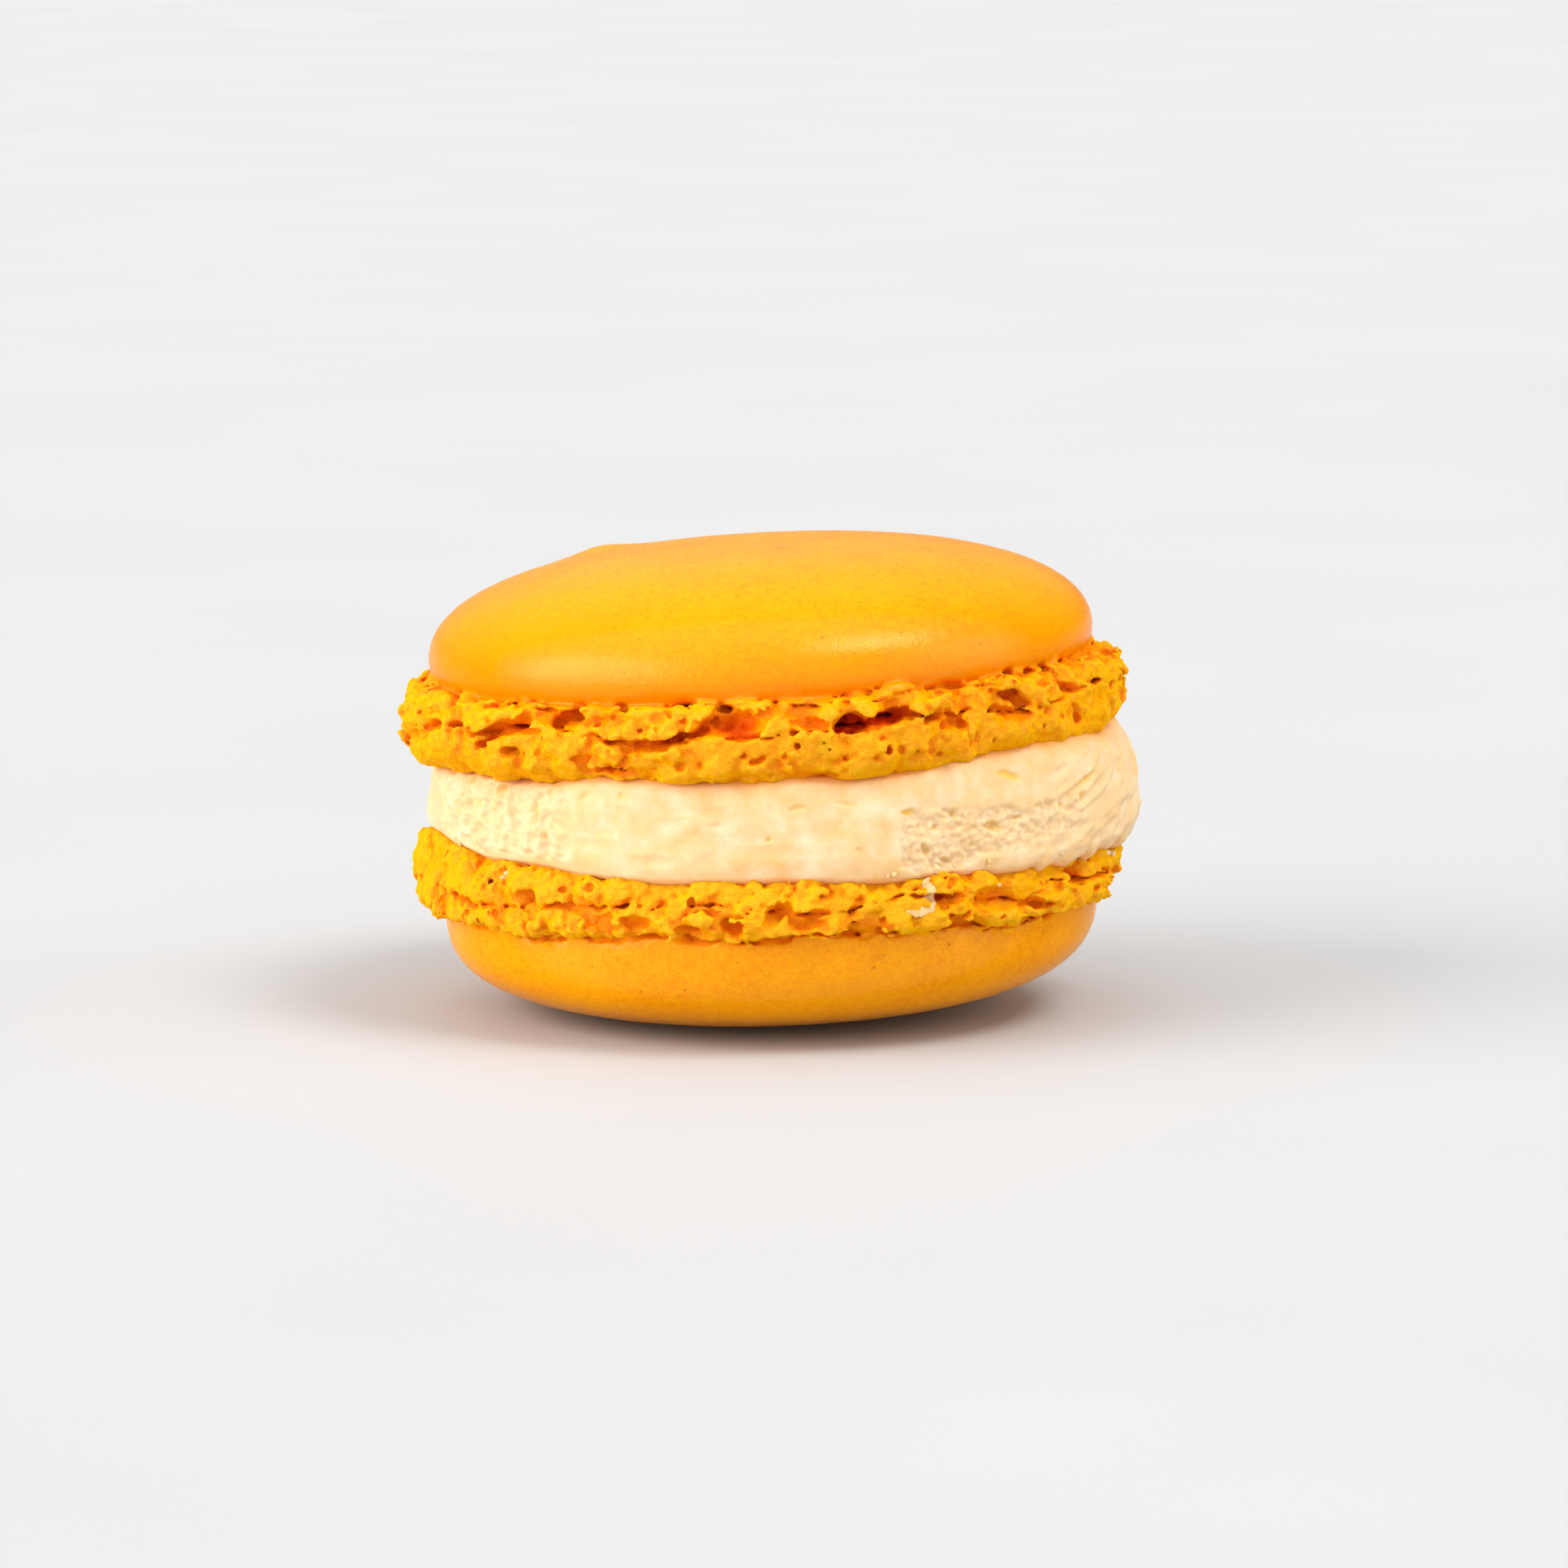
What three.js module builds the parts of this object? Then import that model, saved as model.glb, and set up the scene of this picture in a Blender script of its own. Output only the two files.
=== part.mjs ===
// French macaron: two almond meringue shells with ruffled feet, round a disc of buttercream.
//
// Units are millimetres and +Z is up. The origin is on the table, under the middle of the
// macaron's box. The front is -Y. A turn is an angle in degrees from the front towards +X.
//
// Each shell is described in its own terms: a turn, a radius, and a height measured from the flat
// inner face towards the dome. The upper shell has its dome up, and the lower one is upside down.
import * as THREE from "three";

// ---- Driving dimensions ----
const FOOT_ROUNDING = 2.1; // radius of the foot's rounded edges
const NECK_BLEND = 0.3; // how softly the foot runs into the cap
const ROLL_HEIGHT = 5.5; // depth of the ellipse that rolls the cap in under its widest level
const SIDE_POWER = 2.6; // superellipse power across the cap
const LEAST_SLOPE = 0.06; // keeps the cap's distance finite at the middle of its waist

const LOWER_HEIGHT = 11.3; // lower shell, from the table to its inner face
const FILLING_HEIGHT = 5.5; // at the middle of the macaron
const UPPER_LEAN = 2.6; // degrees by which the upper shell rises towards +X
const CONTACT_GAP = 0.3; // left between the filling and each shell
const FLAT_RADIUS = 18.9; // the part of a shell's inner face that stays flat
const EDGE_CHECKS = [0.3, 0.65, 1]; // shares of the way from there to the edge where it is kept
const EDGE_STEP = 0.05;

const REST = { radius: 6.5, offset: -2 }; // level spot that it stands on, and its centre along X

// ---- Relief of a foot ----
const LUMP_SIZE = 2.3; // spacing of the foam lumps
const LUMP_HEIGHT = 0.75;
const SWELL_SIZE = 6; // slower swelling of the foot's outline
const SWELL_HEIGHT = 0.5;
const BORDER_WAVE = 0.45; // how far the top of the foot wanders up and down
const BORDER_DROP = 0.3; // how far its mean level is under the top of the foot
const BORDER_FADE = 0.8; // height over which the lumps fade out into the smooth cap
const HOLE_WARP = 0.35; // how ragged the holes' outlines are
const HOLE_WARP_SIZE = 0.9;

// Holes that the rising foam tore open: turn, height, width, tallness, depth and slant. The slant
// is the rise in millimetres for each millimetre towards +X.
const UPPER_HOLES = [
  [-48, 2.9, 3.0, 1.0, 1.0, 0.35],
  [-43, 3.9, 2.4, 1.3, 1.3, 0.5],
  [-37, 4.3, 1.6, 0.8, 1.2, 0],
  [-33.2, 4.4, 2.2, 1.0, 2.2, 0.1],
  [-27, 1.0, 2.2, 0.6, 1.6, 0],
  [-21.5, 0.8, 3.0, 0.6, 0.9, 0],
  [-20.5, 2.7, 2.2, 0.6, 1.2, 0.1],
  [-15.5, 3.0, 2.8, 0.8, 1.6, 0.25],
  [-10, 3.5, 2.4, 1.0, 1.8, 0.35],
  [-5.5, 3.8, 3.6, 1.9, 2.0, 0],
  [0.5, 4.5, 1.6, 0.6, 1.4, 0],
  [4.3, 4.2, 2.0, 0.9, 1.2, -0.1],
  [8.4, 0.4, 1.7, 0.6, 1.4, 0],
  [13, 3.3, 2.6, 1.2, 2.5, 0],
  [19, 3.5, 3.2, 0.9, 2.0, 0.05],
  [20, 4.4, 2.0, 0.9, 0.9, 0],
  [31, 2.7, 2.3, 0.7, 1.0, 0],
  [34.5, 4.7, 1.4, 0.7, 1.8, 0],
  [44, 3.7, 2.7, 1.3, 1.9, -0.3],
  [52.6, 4.5, 1.9, 0.9, 0.9, 0.2],
  [58.4, 3.6, 1.7, 0.8, 1.2, -0.1],
];
const LOWER_HOLES = [
  [-43, 2.2, 2.2, 1.6, 0.9, 0],
  [-28, 3.2, 2.4, 0.8, 0.8, 0.1],
  [-22, 3.1, 2.0, 0.8, 0.9, 0],
  [-15, 0.3, 2.4, 0.7, 1.2, 0],
  [-13.5, 3.0, 1.9, 0.8, 1.3, 0],
  [-6, 3.0, 1.6, 1.0, 1.3, 0],
  [1.2, 2.3, 1.7, 1.1, 0.9, 0],
  [6, 2.9, 1.8, 0.8, 0.8, 0],
  [16.5, 0.2, 2.2, 0.6, 1.0, 0],
  [29.5, 1.7, 2.1, 0.7, 1.3, 0],
  [32, 3.1, 1.5, 0.6, 1.6, 0],
  [39, 2.3, 3.3, 1.9, 1.1, 0.1],
  [49, 3.2, 3.5, 0.8, 1.0, 0.1],
  [60, 1.8, 2.8, 1.5, 1.8, 0],
  [84, 3.4, 7.5, 2.4, 1.2, 0],
];
const BACK_HOLES = { first: 104, last: 290, every: 11 }; // turns that a seeded rule fills
const BACK_HOLE_RANGE = {
  height: [1.2, 4.2],
  width: [1.2, 4.2],
  tall: [0.5, 1.4],
  depth: [0.8, 2.3],
};

// ---- The two shells ----
const UPPER = {
  name: "upper_shell",
  capRadius: 20.65,
  capShift: -0.45, // the cap's centre, along X, from the middle of the box
  footRadius: 22.15,
  footShift: -0.65,
  footHeight: 4.85, // before its lumps
  footDip: 0, // how much lower the foot is at the front and the back
  waist: 6.1, // height of the cap's widest level
  dome: 6.15, // height of the dome above it
  domePower: 2.15, // superellipse power up the dome
  lean: 0.6, // degrees by which the dome leans against the inner face
  peak: { turn: 236, radius: 12.4, height: 0.35, spread: 1.3 }, // where the piping tip left
  rest: null,
  holes: [...UPPER_HOLES, ...backHoles(3)],
  seed: 3,
};
const LOWER = {
  name: "lower_shell",
  capRadius: 20.35,
  capShift: -0.05,
  footRadius: 21.7,
  footShift: -0.1,
  footHeight: 4.4,
  footDip: 0.5,
  waist: 3.6,
  dome: LOWER_HEIGHT - 3.6,
  domePower: 3.4,
  lean: 1.5,
  peak: null,
  rest: REST,
  holes: [...LOWER_HOLES, ...backHoles(11)],
  seed: 11,
};

// ---- Filling ----
const FILLING_RADIUS = 20.9; // where it meets the shells
const FILLING_BULGE = 0.5; // how far its side stands out at mid height
const FILLING_SWELL = 0.3; // slow unevenness of the side
const FILLING_SWELL_SIZE = 5.3;
const FILLING_SEED = 41;
const MOST_SAG = 0.7; // how far its edge may sink round a foot's rounded rim
// Where the cream stands out: its turn, the turns it spreads over, how far it stands out, and the
// middle and half height of it as shares of the filling's height.
const SPILL = { turn: 84, spread: 38, reach: 1.45, level: 0.35, tall: 0.72 };

// ---- Mesh density: how many points go round each ring, and which rings there are ----
const FOOT_POINTS = 160;
const CAP_POINTS = 80;
const MIDDLE_POINTS = 40;
const POLE_POINTS = 20;
const FILLING_POINTS = 96;
const SIDE_RINGS = 8; // rings up the filling's side
const CAP_FAN = { first: 90, last: 18, count: 8 }; // slopes of the rays round a cap, in degrees
const FOOT_FAN = { first: 10, last: -62, count: 13 };
const DOME_RADII = [10.5, 14]; // rings on the dome outside the level spot
const FACE_RADIUS = 9; // ring on the inner face

// A shell's surface is found along rays that leave a flat core disc, straight up and down over the
// disc and fanned out round its rim.
const CORE_RADIUS = 17;
const CORE_HEIGHT = 4.4;
const RAY_REACH = 10;
const RAY_STEP = 0.12;
const RAY_HALVINGS = 12;

const radians = THREE.MathUtils.degToRad;
const { clamp, smoothstep } = THREE.MathUtils;

// ---- Noise ----
// A repeatable number from 0 to 1 for each lattice corner.
function cornerValue(i, j, k, seed) {
  const mixed = Math.sin(i * 127.1 + j * 311.7 + k * 74.7 + seed * 53.3) * 43758.5453;
  return mixed - Math.floor(mixed);
}

// Smooth noise from -1 to 1 that varies over about one unit.
function smoothNoise(x, y, z, seed) {
  const [i, j, k] = [x, y, z].map(Math.floor);
  const ease = (t) => t * t * (3 - 2 * t);
  const [u, v, w] = [ease(x - i), ease(y - j), ease(z - k)];
  let sum = 0;
  for (const a of [0, 1])
    for (const b of [0, 1])
      for (const c of [0, 1]) {
        const share = (a ? u : 1 - u) * (b ? v : 1 - v) * (c ? w : 1 - w);
        sum += share * cornerValue(i + a, j + b, k + c, seed);
      }
  return 2 * sum - 1;
}

// Distance to the nearest of a set of scattered centres, one in each unit cell.
function cellDistance(x, y, z, seed) {
  const [i, j, k] = [x, y, z].map(Math.floor);
  let nearest = Infinity;
  for (let a = i - 1; a <= i + 1; a++)
    for (let b = j - 1; b <= j + 1; b++)
      for (let c = k - 1; c <= k + 1; c++) {
        const dx = a + cornerValue(a, b, c, seed) - x;
        const dy = b + cornerValue(a, b, c, seed + 1) - y;
        const dz = c + cornerValue(a, b, c, seed + 2) - z;
        nearest = Math.min(nearest, Math.hypot(dx, dy, dz));
      }
  return nearest;
}

// A generator of repeatable random numbers from 0 to 1.
function randomSource(seed) {
  let state = seed * 7919 + 1;
  return () => {
    state = (state * 16807) % 2147483647;
    return state / 2147483647;
  };
}

function softUnion(a, b, softness) {
  const h = clamp(0.5 + (0.5 * (b - a)) / softness, 0, 1);
  return b + (a - b) * h - softness * h * (1 - h);
}

// ---- The form of a shell: distances are negative inside ----
function capDistance(shell, radius, height) {
  const above = height > shell.waist;
  const tall = above ? shell.dome : ROLL_HEIGHT;
  const power = above ? shell.domePower : 2;
  const across = radius / shell.capRadius;
  const up = Math.abs(height - shell.waist) / tall;
  const level = across ** SIDE_POWER + up ** power;
  const slope = Math.hypot(
    (SIDE_POWER * across ** (SIDE_POWER - 1)) / shell.capRadius,
    (power * up ** (power - 1)) / tall,
  );
  return (level - 1) / Math.max(slope, LEAST_SLOPE);
}

// Height of the foot under its lumps, in the direction of a place.
function footHeight(shell, x, y) {
  return shell.footHeight - (shell.footDip * y * y) / Math.max(x * x + y * y, 1);
}

function footDistance(shell, x, y, height) {
  const half = footHeight(shell, x, y) / 2;
  const out = Math.hypot(x - shell.footShift, y) - shell.footRadius + FOOT_ROUNDING;
  const up = Math.abs(height - half) - half + FOOT_ROUNDING;
  const outside = Math.hypot(Math.max(out, 0), Math.max(up, 0));
  return outside + Math.min(Math.max(out, up), 0) - FOOT_ROUNDING;
}

// How deep a point lies in the nearest hole, as a distance that is negative inside the hole.
function holeDistance(shell, x, y, height) {
  const inset = shell.footRadius - Math.hypot(x - shell.footShift, y);
  const place = [x, y, height].map((v) => v / HOLE_WARP_SIZE);
  const warp = (n) => HOLE_WARP * smoothNoise(...place, shell.seed + n);
  const turn = Math.atan2(x, -y);
  let nearest = Infinity;
  for (const [holeTurn, holeHeight, width, tall, depth, slant] of shell.holes) {
    let away = turn - radians(holeTurn);
    away -= 2 * Math.PI * Math.round(away / (2 * Math.PI));
    const along = away * shell.footRadius;
    if (Math.abs(along) > width) continue;
    const a = (along + warp(20)) / (width / 2);
    const b = (height - holeHeight - slant * along + warp(21)) / (tall / 2);
    const c = inset / depth;
    nearest = Math.min(nearest, (Math.hypot(a, b, c) - 1) * (tall / 2));
  }
  return nearest;
}

// Holes for the part of the foot that the lists above leave out.
function backHoles(seed) {
  const random = randomSource(seed);
  const within = ([low, high]) => low + (high - low) * random();
  const holes = [];
  for (let turn = BACK_HOLES.first; turn <= BACK_HOLES.last; turn += BACK_HOLES.every) {
    const jitter = (random() - 0.5) * BACK_HOLES.every;
    const height = within(BACK_HOLE_RANGE.height);
    const width = within(BACK_HOLE_RANGE.width);
    const tall = within(BACK_HOLE_RANGE.tall);
    holes.push([turn + jitter, height, width, tall, within(BACK_HOLE_RANGE.depth), 0]);
  }
  return holes;
}

function reliefOfFoot(shell, x, y, height) {
  const wave = BORDER_WAVE * smoothNoise(x / 3, y / 3, 0, shell.seed + 5);
  const border = footHeight(shell, x, y) - BORDER_DROP + wave;
  const share = 1 - smoothstep(height, border - BORDER_FADE / 2, border + BORDER_FADE / 2);
  const lump = 0.55 - cellDistance(x / LUMP_SIZE, y / LUMP_SIZE, height / LUMP_SIZE, shell.seed);
  const swell = smoothNoise(x / SWELL_SIZE, y / SWELL_SIZE, 0, shell.seed + 7);
  return share * (LUMP_HEIGHT * lump + SWELL_HEIGHT * swell);
}

// The lump where the piping tip was pulled away from the batter.
function peakHeight(shell, x, y) {
  if (!shell.peak) return 0;
  const { turn, radius, height, spread } = shell.peak;
  const dx = x - radius * Math.sin(radians(turn));
  const dy = y + radius * Math.cos(radians(turn));
  return height * Math.exp(-(dx * dx + dy * dy) / (2 * spread * spread));
}

// Distance to a shell's surface from a point, negative inside.
function shellDistance(shell, x, y, height) {
  const capRadius = Math.hypot(x - shell.capShift, y);
  const cap = capDistance(shell, capRadius, height - peakHeight(shell, x, y));
  const foot = footDistance(shell, x, y, height) - reliefOfFoot(shell, x, y, height);
  const body = softUnion(cap, foot, NECK_BLEND);
  return Math.max(body, -holeDistance(shell, x, y, height), -height);
}

// ---- Meshing ----
// The place on the core, and the direction, of the ray for one ring: { from, up, out }.
function domeRay(from) {
  return { from, up: 1, out: 0 };
}
function fanRay(degrees) {
  return { from: CORE_RADIUS, up: Math.sin(radians(degrees)), out: Math.cos(radians(degrees)) };
}
function faceRay(from) {
  return { from, up: -1, out: 0 };
}

function spread({ first, last, count }) {
  return Array.from({ length: count }, (_, n) => first + ((last - first) * n) / (count - 1));
}

// Every ring of a shell, from the top of the dome over the side to the middle of the inner face.
function shellRings() {
  return [
    { ...domeRay(0), points: 1 },
    { ...domeRay(REST.radius / 2), points: POLE_POINTS },
    { ...domeRay(REST.radius), points: MIDDLE_POINTS },
    { ...domeRay(DOME_RADII[0]), points: MIDDLE_POINTS },
    { ...domeRay(DOME_RADII[1]), points: CAP_POINTS },
    ...spread(CAP_FAN).map((a) => ({ ...fanRay(a), points: CAP_POINTS })),
    ...spread(FOOT_FAN).map((a) => ({ ...fanRay(a), points: FOOT_POINTS })),
    { ...faceRay(CORE_RADIUS), points: CAP_POINTS },
    { ...faceRay(FACE_RADIUS), points: MIDDLE_POINTS },
    { ...faceRay(0), points: 1 },
  ];
}

// Distance along a ray to the outermost surface.
function surfaceAlong(shell, ray, sin, cos) {
  const at = (reach) => {
    const radius = ray.from + reach * ray.out;
    return shellDistance(shell, radius * sin, -radius * cos, CORE_HEIGHT + reach * ray.up);
  };
  let outer = RAY_REACH;
  while (at(outer - RAY_STEP) > 0) outer -= RAY_STEP;
  let inner = outer - RAY_STEP;
  for (let n = 0; n < RAY_HALVINGS; n++) {
    const middle = (inner + outer) / 2;
    if (at(middle) > 0) outer = middle;
    else inner = middle;
  }
  return inner;
}

// Joins two rings of any number of points with a band of triangles.
function zip(ringA, ringB, triangles) {
  let a = ringA.length === 1 ? 1 : 0;
  let b = ringB.length === 1 ? 1 : 0;
  while (a < ringA.length || b < ringB.length) {
    const fromA = ringA[a % ringA.length];
    const fromB = ringB[b % ringB.length];
    const stepA =
      a < ringA.length &&
      (b >= ringB.length || (a + 1) / ringA.length <= (b + 1) / ringB.length);
    if (stepA) triangles.push(fromA, fromB, ringA[++a % ringA.length]);
    else triangles.push(fromA, fromB, ringB[++b % ringB.length]);
  }
}

// One closed geometry from rings of points that run from pole to pole.
function geometryFromRings(rings, flipped) {
  const points = rings.flat();
  let next = 0;
  const indices = rings.map((ring) => ring.map(() => next++));
  const triangles = [];
  for (let n = 0; n + 1 < indices.length; n++) {
    if (flipped) zip(indices[n + 1], indices[n], triangles);
    else zip(indices[n], indices[n + 1], triangles);
  }
  const geometry = new THREE.BufferGeometry().setFromPoints(points);
  geometry.setIndex(triangles);
  geometry.computeVertexNormals();
  return geometry;
}

// Rise of a leaning dome: none at the inner face, and none on a level spot that it rests on.
function leanRise(shell, x, y, height) {
  const up = smoothstep(height, 0, shell.footHeight);
  const rise = Math.tan(radians(shell.lean)) * x * up;
  if (!shell.rest) return rise;
  const { radius, offset } = shell.rest;
  return rise * smoothstep(Math.hypot(x - offset, y), radius, 2 * radius);
}

// The vertices of a shell in rings, with its dome up, or down when dome is -1.
function shellPoints(shell, dome) {
  return shellRings().map((ring) =>
    Array.from({ length: ring.points }, (_, n) => {
      const turn = (2 * Math.PI * n) / ring.points;
      const [sin, cos] = [Math.sin(turn), Math.cos(turn)];
      const reach = surfaceAlong(shell, ring, sin, cos);
      const radius = ring.from + reach * ring.out;
      const [x, y, height] = [radius * sin, -radius * cos, CORE_HEIGHT + reach * ring.up];
      const onRest = shell.rest && ring.up === 1 && ring.from <= shell.rest.radius;
      if (onRest) return new THREE.Vector3(x + shell.rest.offset, y, dome * LOWER_HEIGHT);
      return new THREE.Vector3(x, y, dome * height + leanRise(shell, x, y, height));
    }),
  );
}

function shellMaterial(name, colour) {
  return new THREE.MeshStandardMaterial({ name, color: colour, roughness: 0.5, metalness: 0 });
}

function upperShell() {
  const geometry = geometryFromRings(shellPoints(UPPER, 1), false);
  const mesh = new THREE.Mesh(geometry, shellMaterial("upper_shell", 0xf9b01c));
  mesh.name = UPPER.name;
  mesh.position.z = LOWER_HEIGHT + FILLING_HEIGHT;
  mesh.rotation.y = -radians(UPPER_LEAN);
  return mesh;
}

function lowerShell() {
  const geometry = geometryFromRings(shellPoints(LOWER, -1), true);
  const mesh = new THREE.Mesh(geometry, shellMaterial("lower_shell", 0xf2a51f));
  mesh.name = LOWER.name;
  mesh.position.z = LOWER_HEIGHT;
  return mesh;
}

// ---- The buttercream ----
// Radius of the filling's side at a turn, where share runs from 0 at the bottom to 1 at the top.
function fillingRadius(turn, share) {
  const fromSpill = turn - radians(SPILL.turn);
  const away = fromSpill - 2 * Math.PI * Math.round(fromSpill / (2 * Math.PI));
  const across = Math.exp(-((away / radians(SPILL.spread)) ** 2));
  const spill = SPILL.reach * across * (1 - ((share - SPILL.level) / SPILL.tall) ** 2);
  const round = 1 - (2 * share - 1) ** 4;
  const place = [FILLING_RADIUS * Math.sin(turn), -FILLING_RADIUS * Math.cos(turn)];
  const cells = [...place, FILLING_HEIGHT * share].map((v) => v / FILLING_SWELL_SIZE);
  const slow = FILLING_SWELL * smoothNoise(...cells, FILLING_SEED);
  return FILLING_RADIUS + FILLING_BULGE * round + spill + slow;
}

// How far towards a shell the cream reaches at a place, in that shell's own height.
function contactHeight(shell, turn, radius) {
  const [x, y] = [radius * Math.sin(turn), -radius * Math.cos(turn)];
  let height = -CONTACT_GAP;
  while (height < MOST_SAG && shellDistance(shell, x, y, height) > CONTACT_GAP) height += EDGE_STEP;
  return height;
}

// The same for the cream's edge, so low that straight lines to it from the flat face, and to the
// points beside it, clear the foot's lumps.
function edgeHeight(shell, turn, radius) {
  if (radius <= FLAT_RADIUS) return -CONTACT_GAP;
  const step = Math.PI / FILLING_POINTS;
  const limits = [-step, 0, step].flatMap((away) =>
    EDGE_CHECKS.map((share) => {
      const place = FLAT_RADIUS + share * (radius - FLAT_RADIUS);
      return (contactHeight(shell, turn + away, place) + CONTACT_GAP) / share - CONTACT_GAP;
    }),
  );
  return Math.min(...limits);
}

function fillingPoint(turn, radius, share) {
  const [x, y] = [radius * Math.sin(turn), -radius * Math.cos(turn)];
  const lowerEdge = Math.min(radius, fillingRadius(turn, 0));
  const upperEdge = Math.min(radius, fillingRadius(turn, 1));
  const face = FILLING_HEIGHT + x * Math.tan(radians(UPPER_LEAN));
  const bottom = -edgeHeight(LOWER, turn, lowerEdge);
  const top = face + edgeHeight(UPPER, turn, upperEdge);
  return new THREE.Vector3(x, y, bottom + (top - bottom) * share);
}

function fillingRing(points, radiusAt, share) {
  return Array.from({ length: points }, (_, n) => {
    const turn = (2 * Math.PI * n) / points;
    return fillingPoint(turn, radiusAt(turn), share);
  });
}

function fillingFace(share) {
  return [
    fillingRing(1, () => 0, share),
    fillingRing(FILLING_POINTS / 4, () => FILLING_RADIUS / 2, share),
    fillingRing(FILLING_POINTS / 2, () => FLAT_RADIUS, share),
  ];
}

function filling() {
  const side = spread({ first: 1, last: 0, count: SIDE_RINGS }).map((share) =>
    fillingRing(FILLING_POINTS, (turn) => fillingRadius(turn, share), share),
  );
  const rings = [...fillingFace(1), ...side, ...fillingFace(0).reverse()];
  const material = new THREE.MeshStandardMaterial({ name: "buttercream", color: 0xfae3b0 });
  material.roughness = 0.55;
  const mesh = new THREE.Mesh(geometryFromRings(rings, false), material);
  mesh.name = "filling";
  mesh.position.z = LOWER_HEIGHT;
  return mesh;
}

const macaron = new THREE.Group();
macaron.add(lowerShell(), filling(), upperShell());

export default macaron;
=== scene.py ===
import itertools
import math

import bmesh
import bpy
import numpy as np
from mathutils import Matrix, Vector


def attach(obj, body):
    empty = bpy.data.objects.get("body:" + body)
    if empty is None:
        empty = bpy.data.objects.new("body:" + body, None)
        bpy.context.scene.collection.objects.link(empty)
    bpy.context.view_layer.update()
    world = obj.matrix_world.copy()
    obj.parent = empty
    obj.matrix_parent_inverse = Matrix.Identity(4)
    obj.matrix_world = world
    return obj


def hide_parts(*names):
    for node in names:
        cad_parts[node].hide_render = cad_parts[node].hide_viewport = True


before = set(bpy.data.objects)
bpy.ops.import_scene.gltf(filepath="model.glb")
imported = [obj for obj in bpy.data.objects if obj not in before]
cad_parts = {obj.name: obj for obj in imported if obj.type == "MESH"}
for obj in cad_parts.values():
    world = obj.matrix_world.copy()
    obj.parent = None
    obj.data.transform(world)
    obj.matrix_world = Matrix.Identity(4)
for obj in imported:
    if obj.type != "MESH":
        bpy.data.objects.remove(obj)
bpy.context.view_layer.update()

MM = 0.001

# ---- Forms that the CAD solids have too: roundings, blends, powers of the outlines and noise ----
FOOT_ROUNDING = 2.1
NECK_BLEND = 0.3
ROLL_HEIGHT = 5.5
SIDE_POWER = 2.6
LEAST_SLOPE = 0.06
LOWER_HEIGHT = 11.3
FILLING_HEIGHT = 5.5
UPPER_LEAN = 2.6
REST_RADIUS, REST_OFFSET = 6.5, -2.0  # the flat spot that the macaron rests on
FLAT_FADE_RADIUS, SHIFT_RADIUS = 9, 10.5  # where its flatness and its shift have died out
DOME_HEIGHTS = (8, 9)  # between these heights the dome starts to feel it
LUMP_SIZE, LUMP_HEIGHT = 2.3, 0.75
SWELL_SIZE, SWELL_HEIGHT = 6.0, 0.5
BORDER_WAVE, BORDER_WAVE_SIZE = 0.45, 3
BORDER_DROP, BORDER_FADE = 0.3, 0.8
HOLE_WARP, HOLE_WARP_SIZE = 0.35, 0.9

# Holes torn by the rising foam: turn, height, width, tallness, depth, slant.
UPPER_HOLES = [
    (-48, 2.9, 3.0, 1.0, 1.0, 0.35),
    (-43, 3.9, 2.4, 1.3, 1.3, 0.5),
    (-37, 4.3, 1.6, 0.8, 1.2, 0),
    (-33.2, 4.4, 2.2, 1.0, 2.2, 0.1),
    (-27, 1.0, 2.2, 0.6, 1.6, 0),
    (-21.5, 0.8, 3.0, 0.6, 0.9, 0),
    (-20.5, 2.7, 2.2, 0.6, 1.2, 0.1),
    (-15.5, 3.0, 2.8, 0.8, 1.6, 0.25),
    (-10, 3.5, 2.4, 1.0, 1.8, 0.35),
    (-5.5, 3.8, 3.6, 1.9, 2.0, 0),
    (0.5, 4.5, 1.6, 0.6, 1.4, 0),
    (4.3, 4.2, 2.0, 0.9, 1.2, -0.1),
    (8.4, 0.4, 1.7, 0.6, 1.4, 0),
    (13, 3.3, 2.6, 1.2, 2.5, 0),
    (19, 3.5, 3.2, 0.9, 2.0, 0.05),
    (20, 4.4, 2.0, 0.9, 0.9, 0),
    (31, 2.7, 2.3, 0.7, 1.0, 0),
    (34.5, 4.7, 1.4, 0.7, 1.8, 0),
    (44, 3.7, 2.7, 1.3, 1.9, -0.3),
    (52.6, 4.5, 1.9, 0.9, 0.9, 0.2),
    (58.4, 3.6, 1.7, 0.8, 1.2, -0.1),
]
LOWER_HOLES = [
    (-43, 2.2, 2.2, 1.6, 0.9, 0),
    (-28, 3.2, 2.4, 0.8, 0.8, 0.1),
    (-22, 3.1, 2.0, 0.8, 0.9, 0),
    (-15, 0.3, 2.4, 0.7, 1.2, 0),
    (-13.5, 3.0, 1.9, 0.8, 1.3, 0),
    (-6, 3.0, 1.6, 1.0, 1.3, 0),
    (1.2, 2.3, 1.7, 1.1, 0.9, 0),
    (6, 2.9, 1.8, 0.8, 0.8, 0),
    (16.5, 0.2, 2.2, 0.6, 1.0, 0),
    (29.5, 1.7, 2.1, 0.7, 1.3, 0),
    (32, 3.1, 1.5, 0.6, 1.6, 0),
    (39, 2.3, 3.3, 1.9, 1.1, 0.1),
    (49, 3.2, 3.5, 0.8, 1.0, 0.1),
    (60, 1.8, 2.8, 1.5, 1.8, 0),
    (84, 3.4, 7.5, 2.4, 1.2, 0),
]
BACK_TURNS = range(104, 291, 11)
BACK_HEIGHT, BACK_WIDTH = (1.2, 4.2), (1.2, 4.2)
BACK_TALL, BACK_DEPTH = (0.5, 1.4), (0.8, 2.3)

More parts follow.
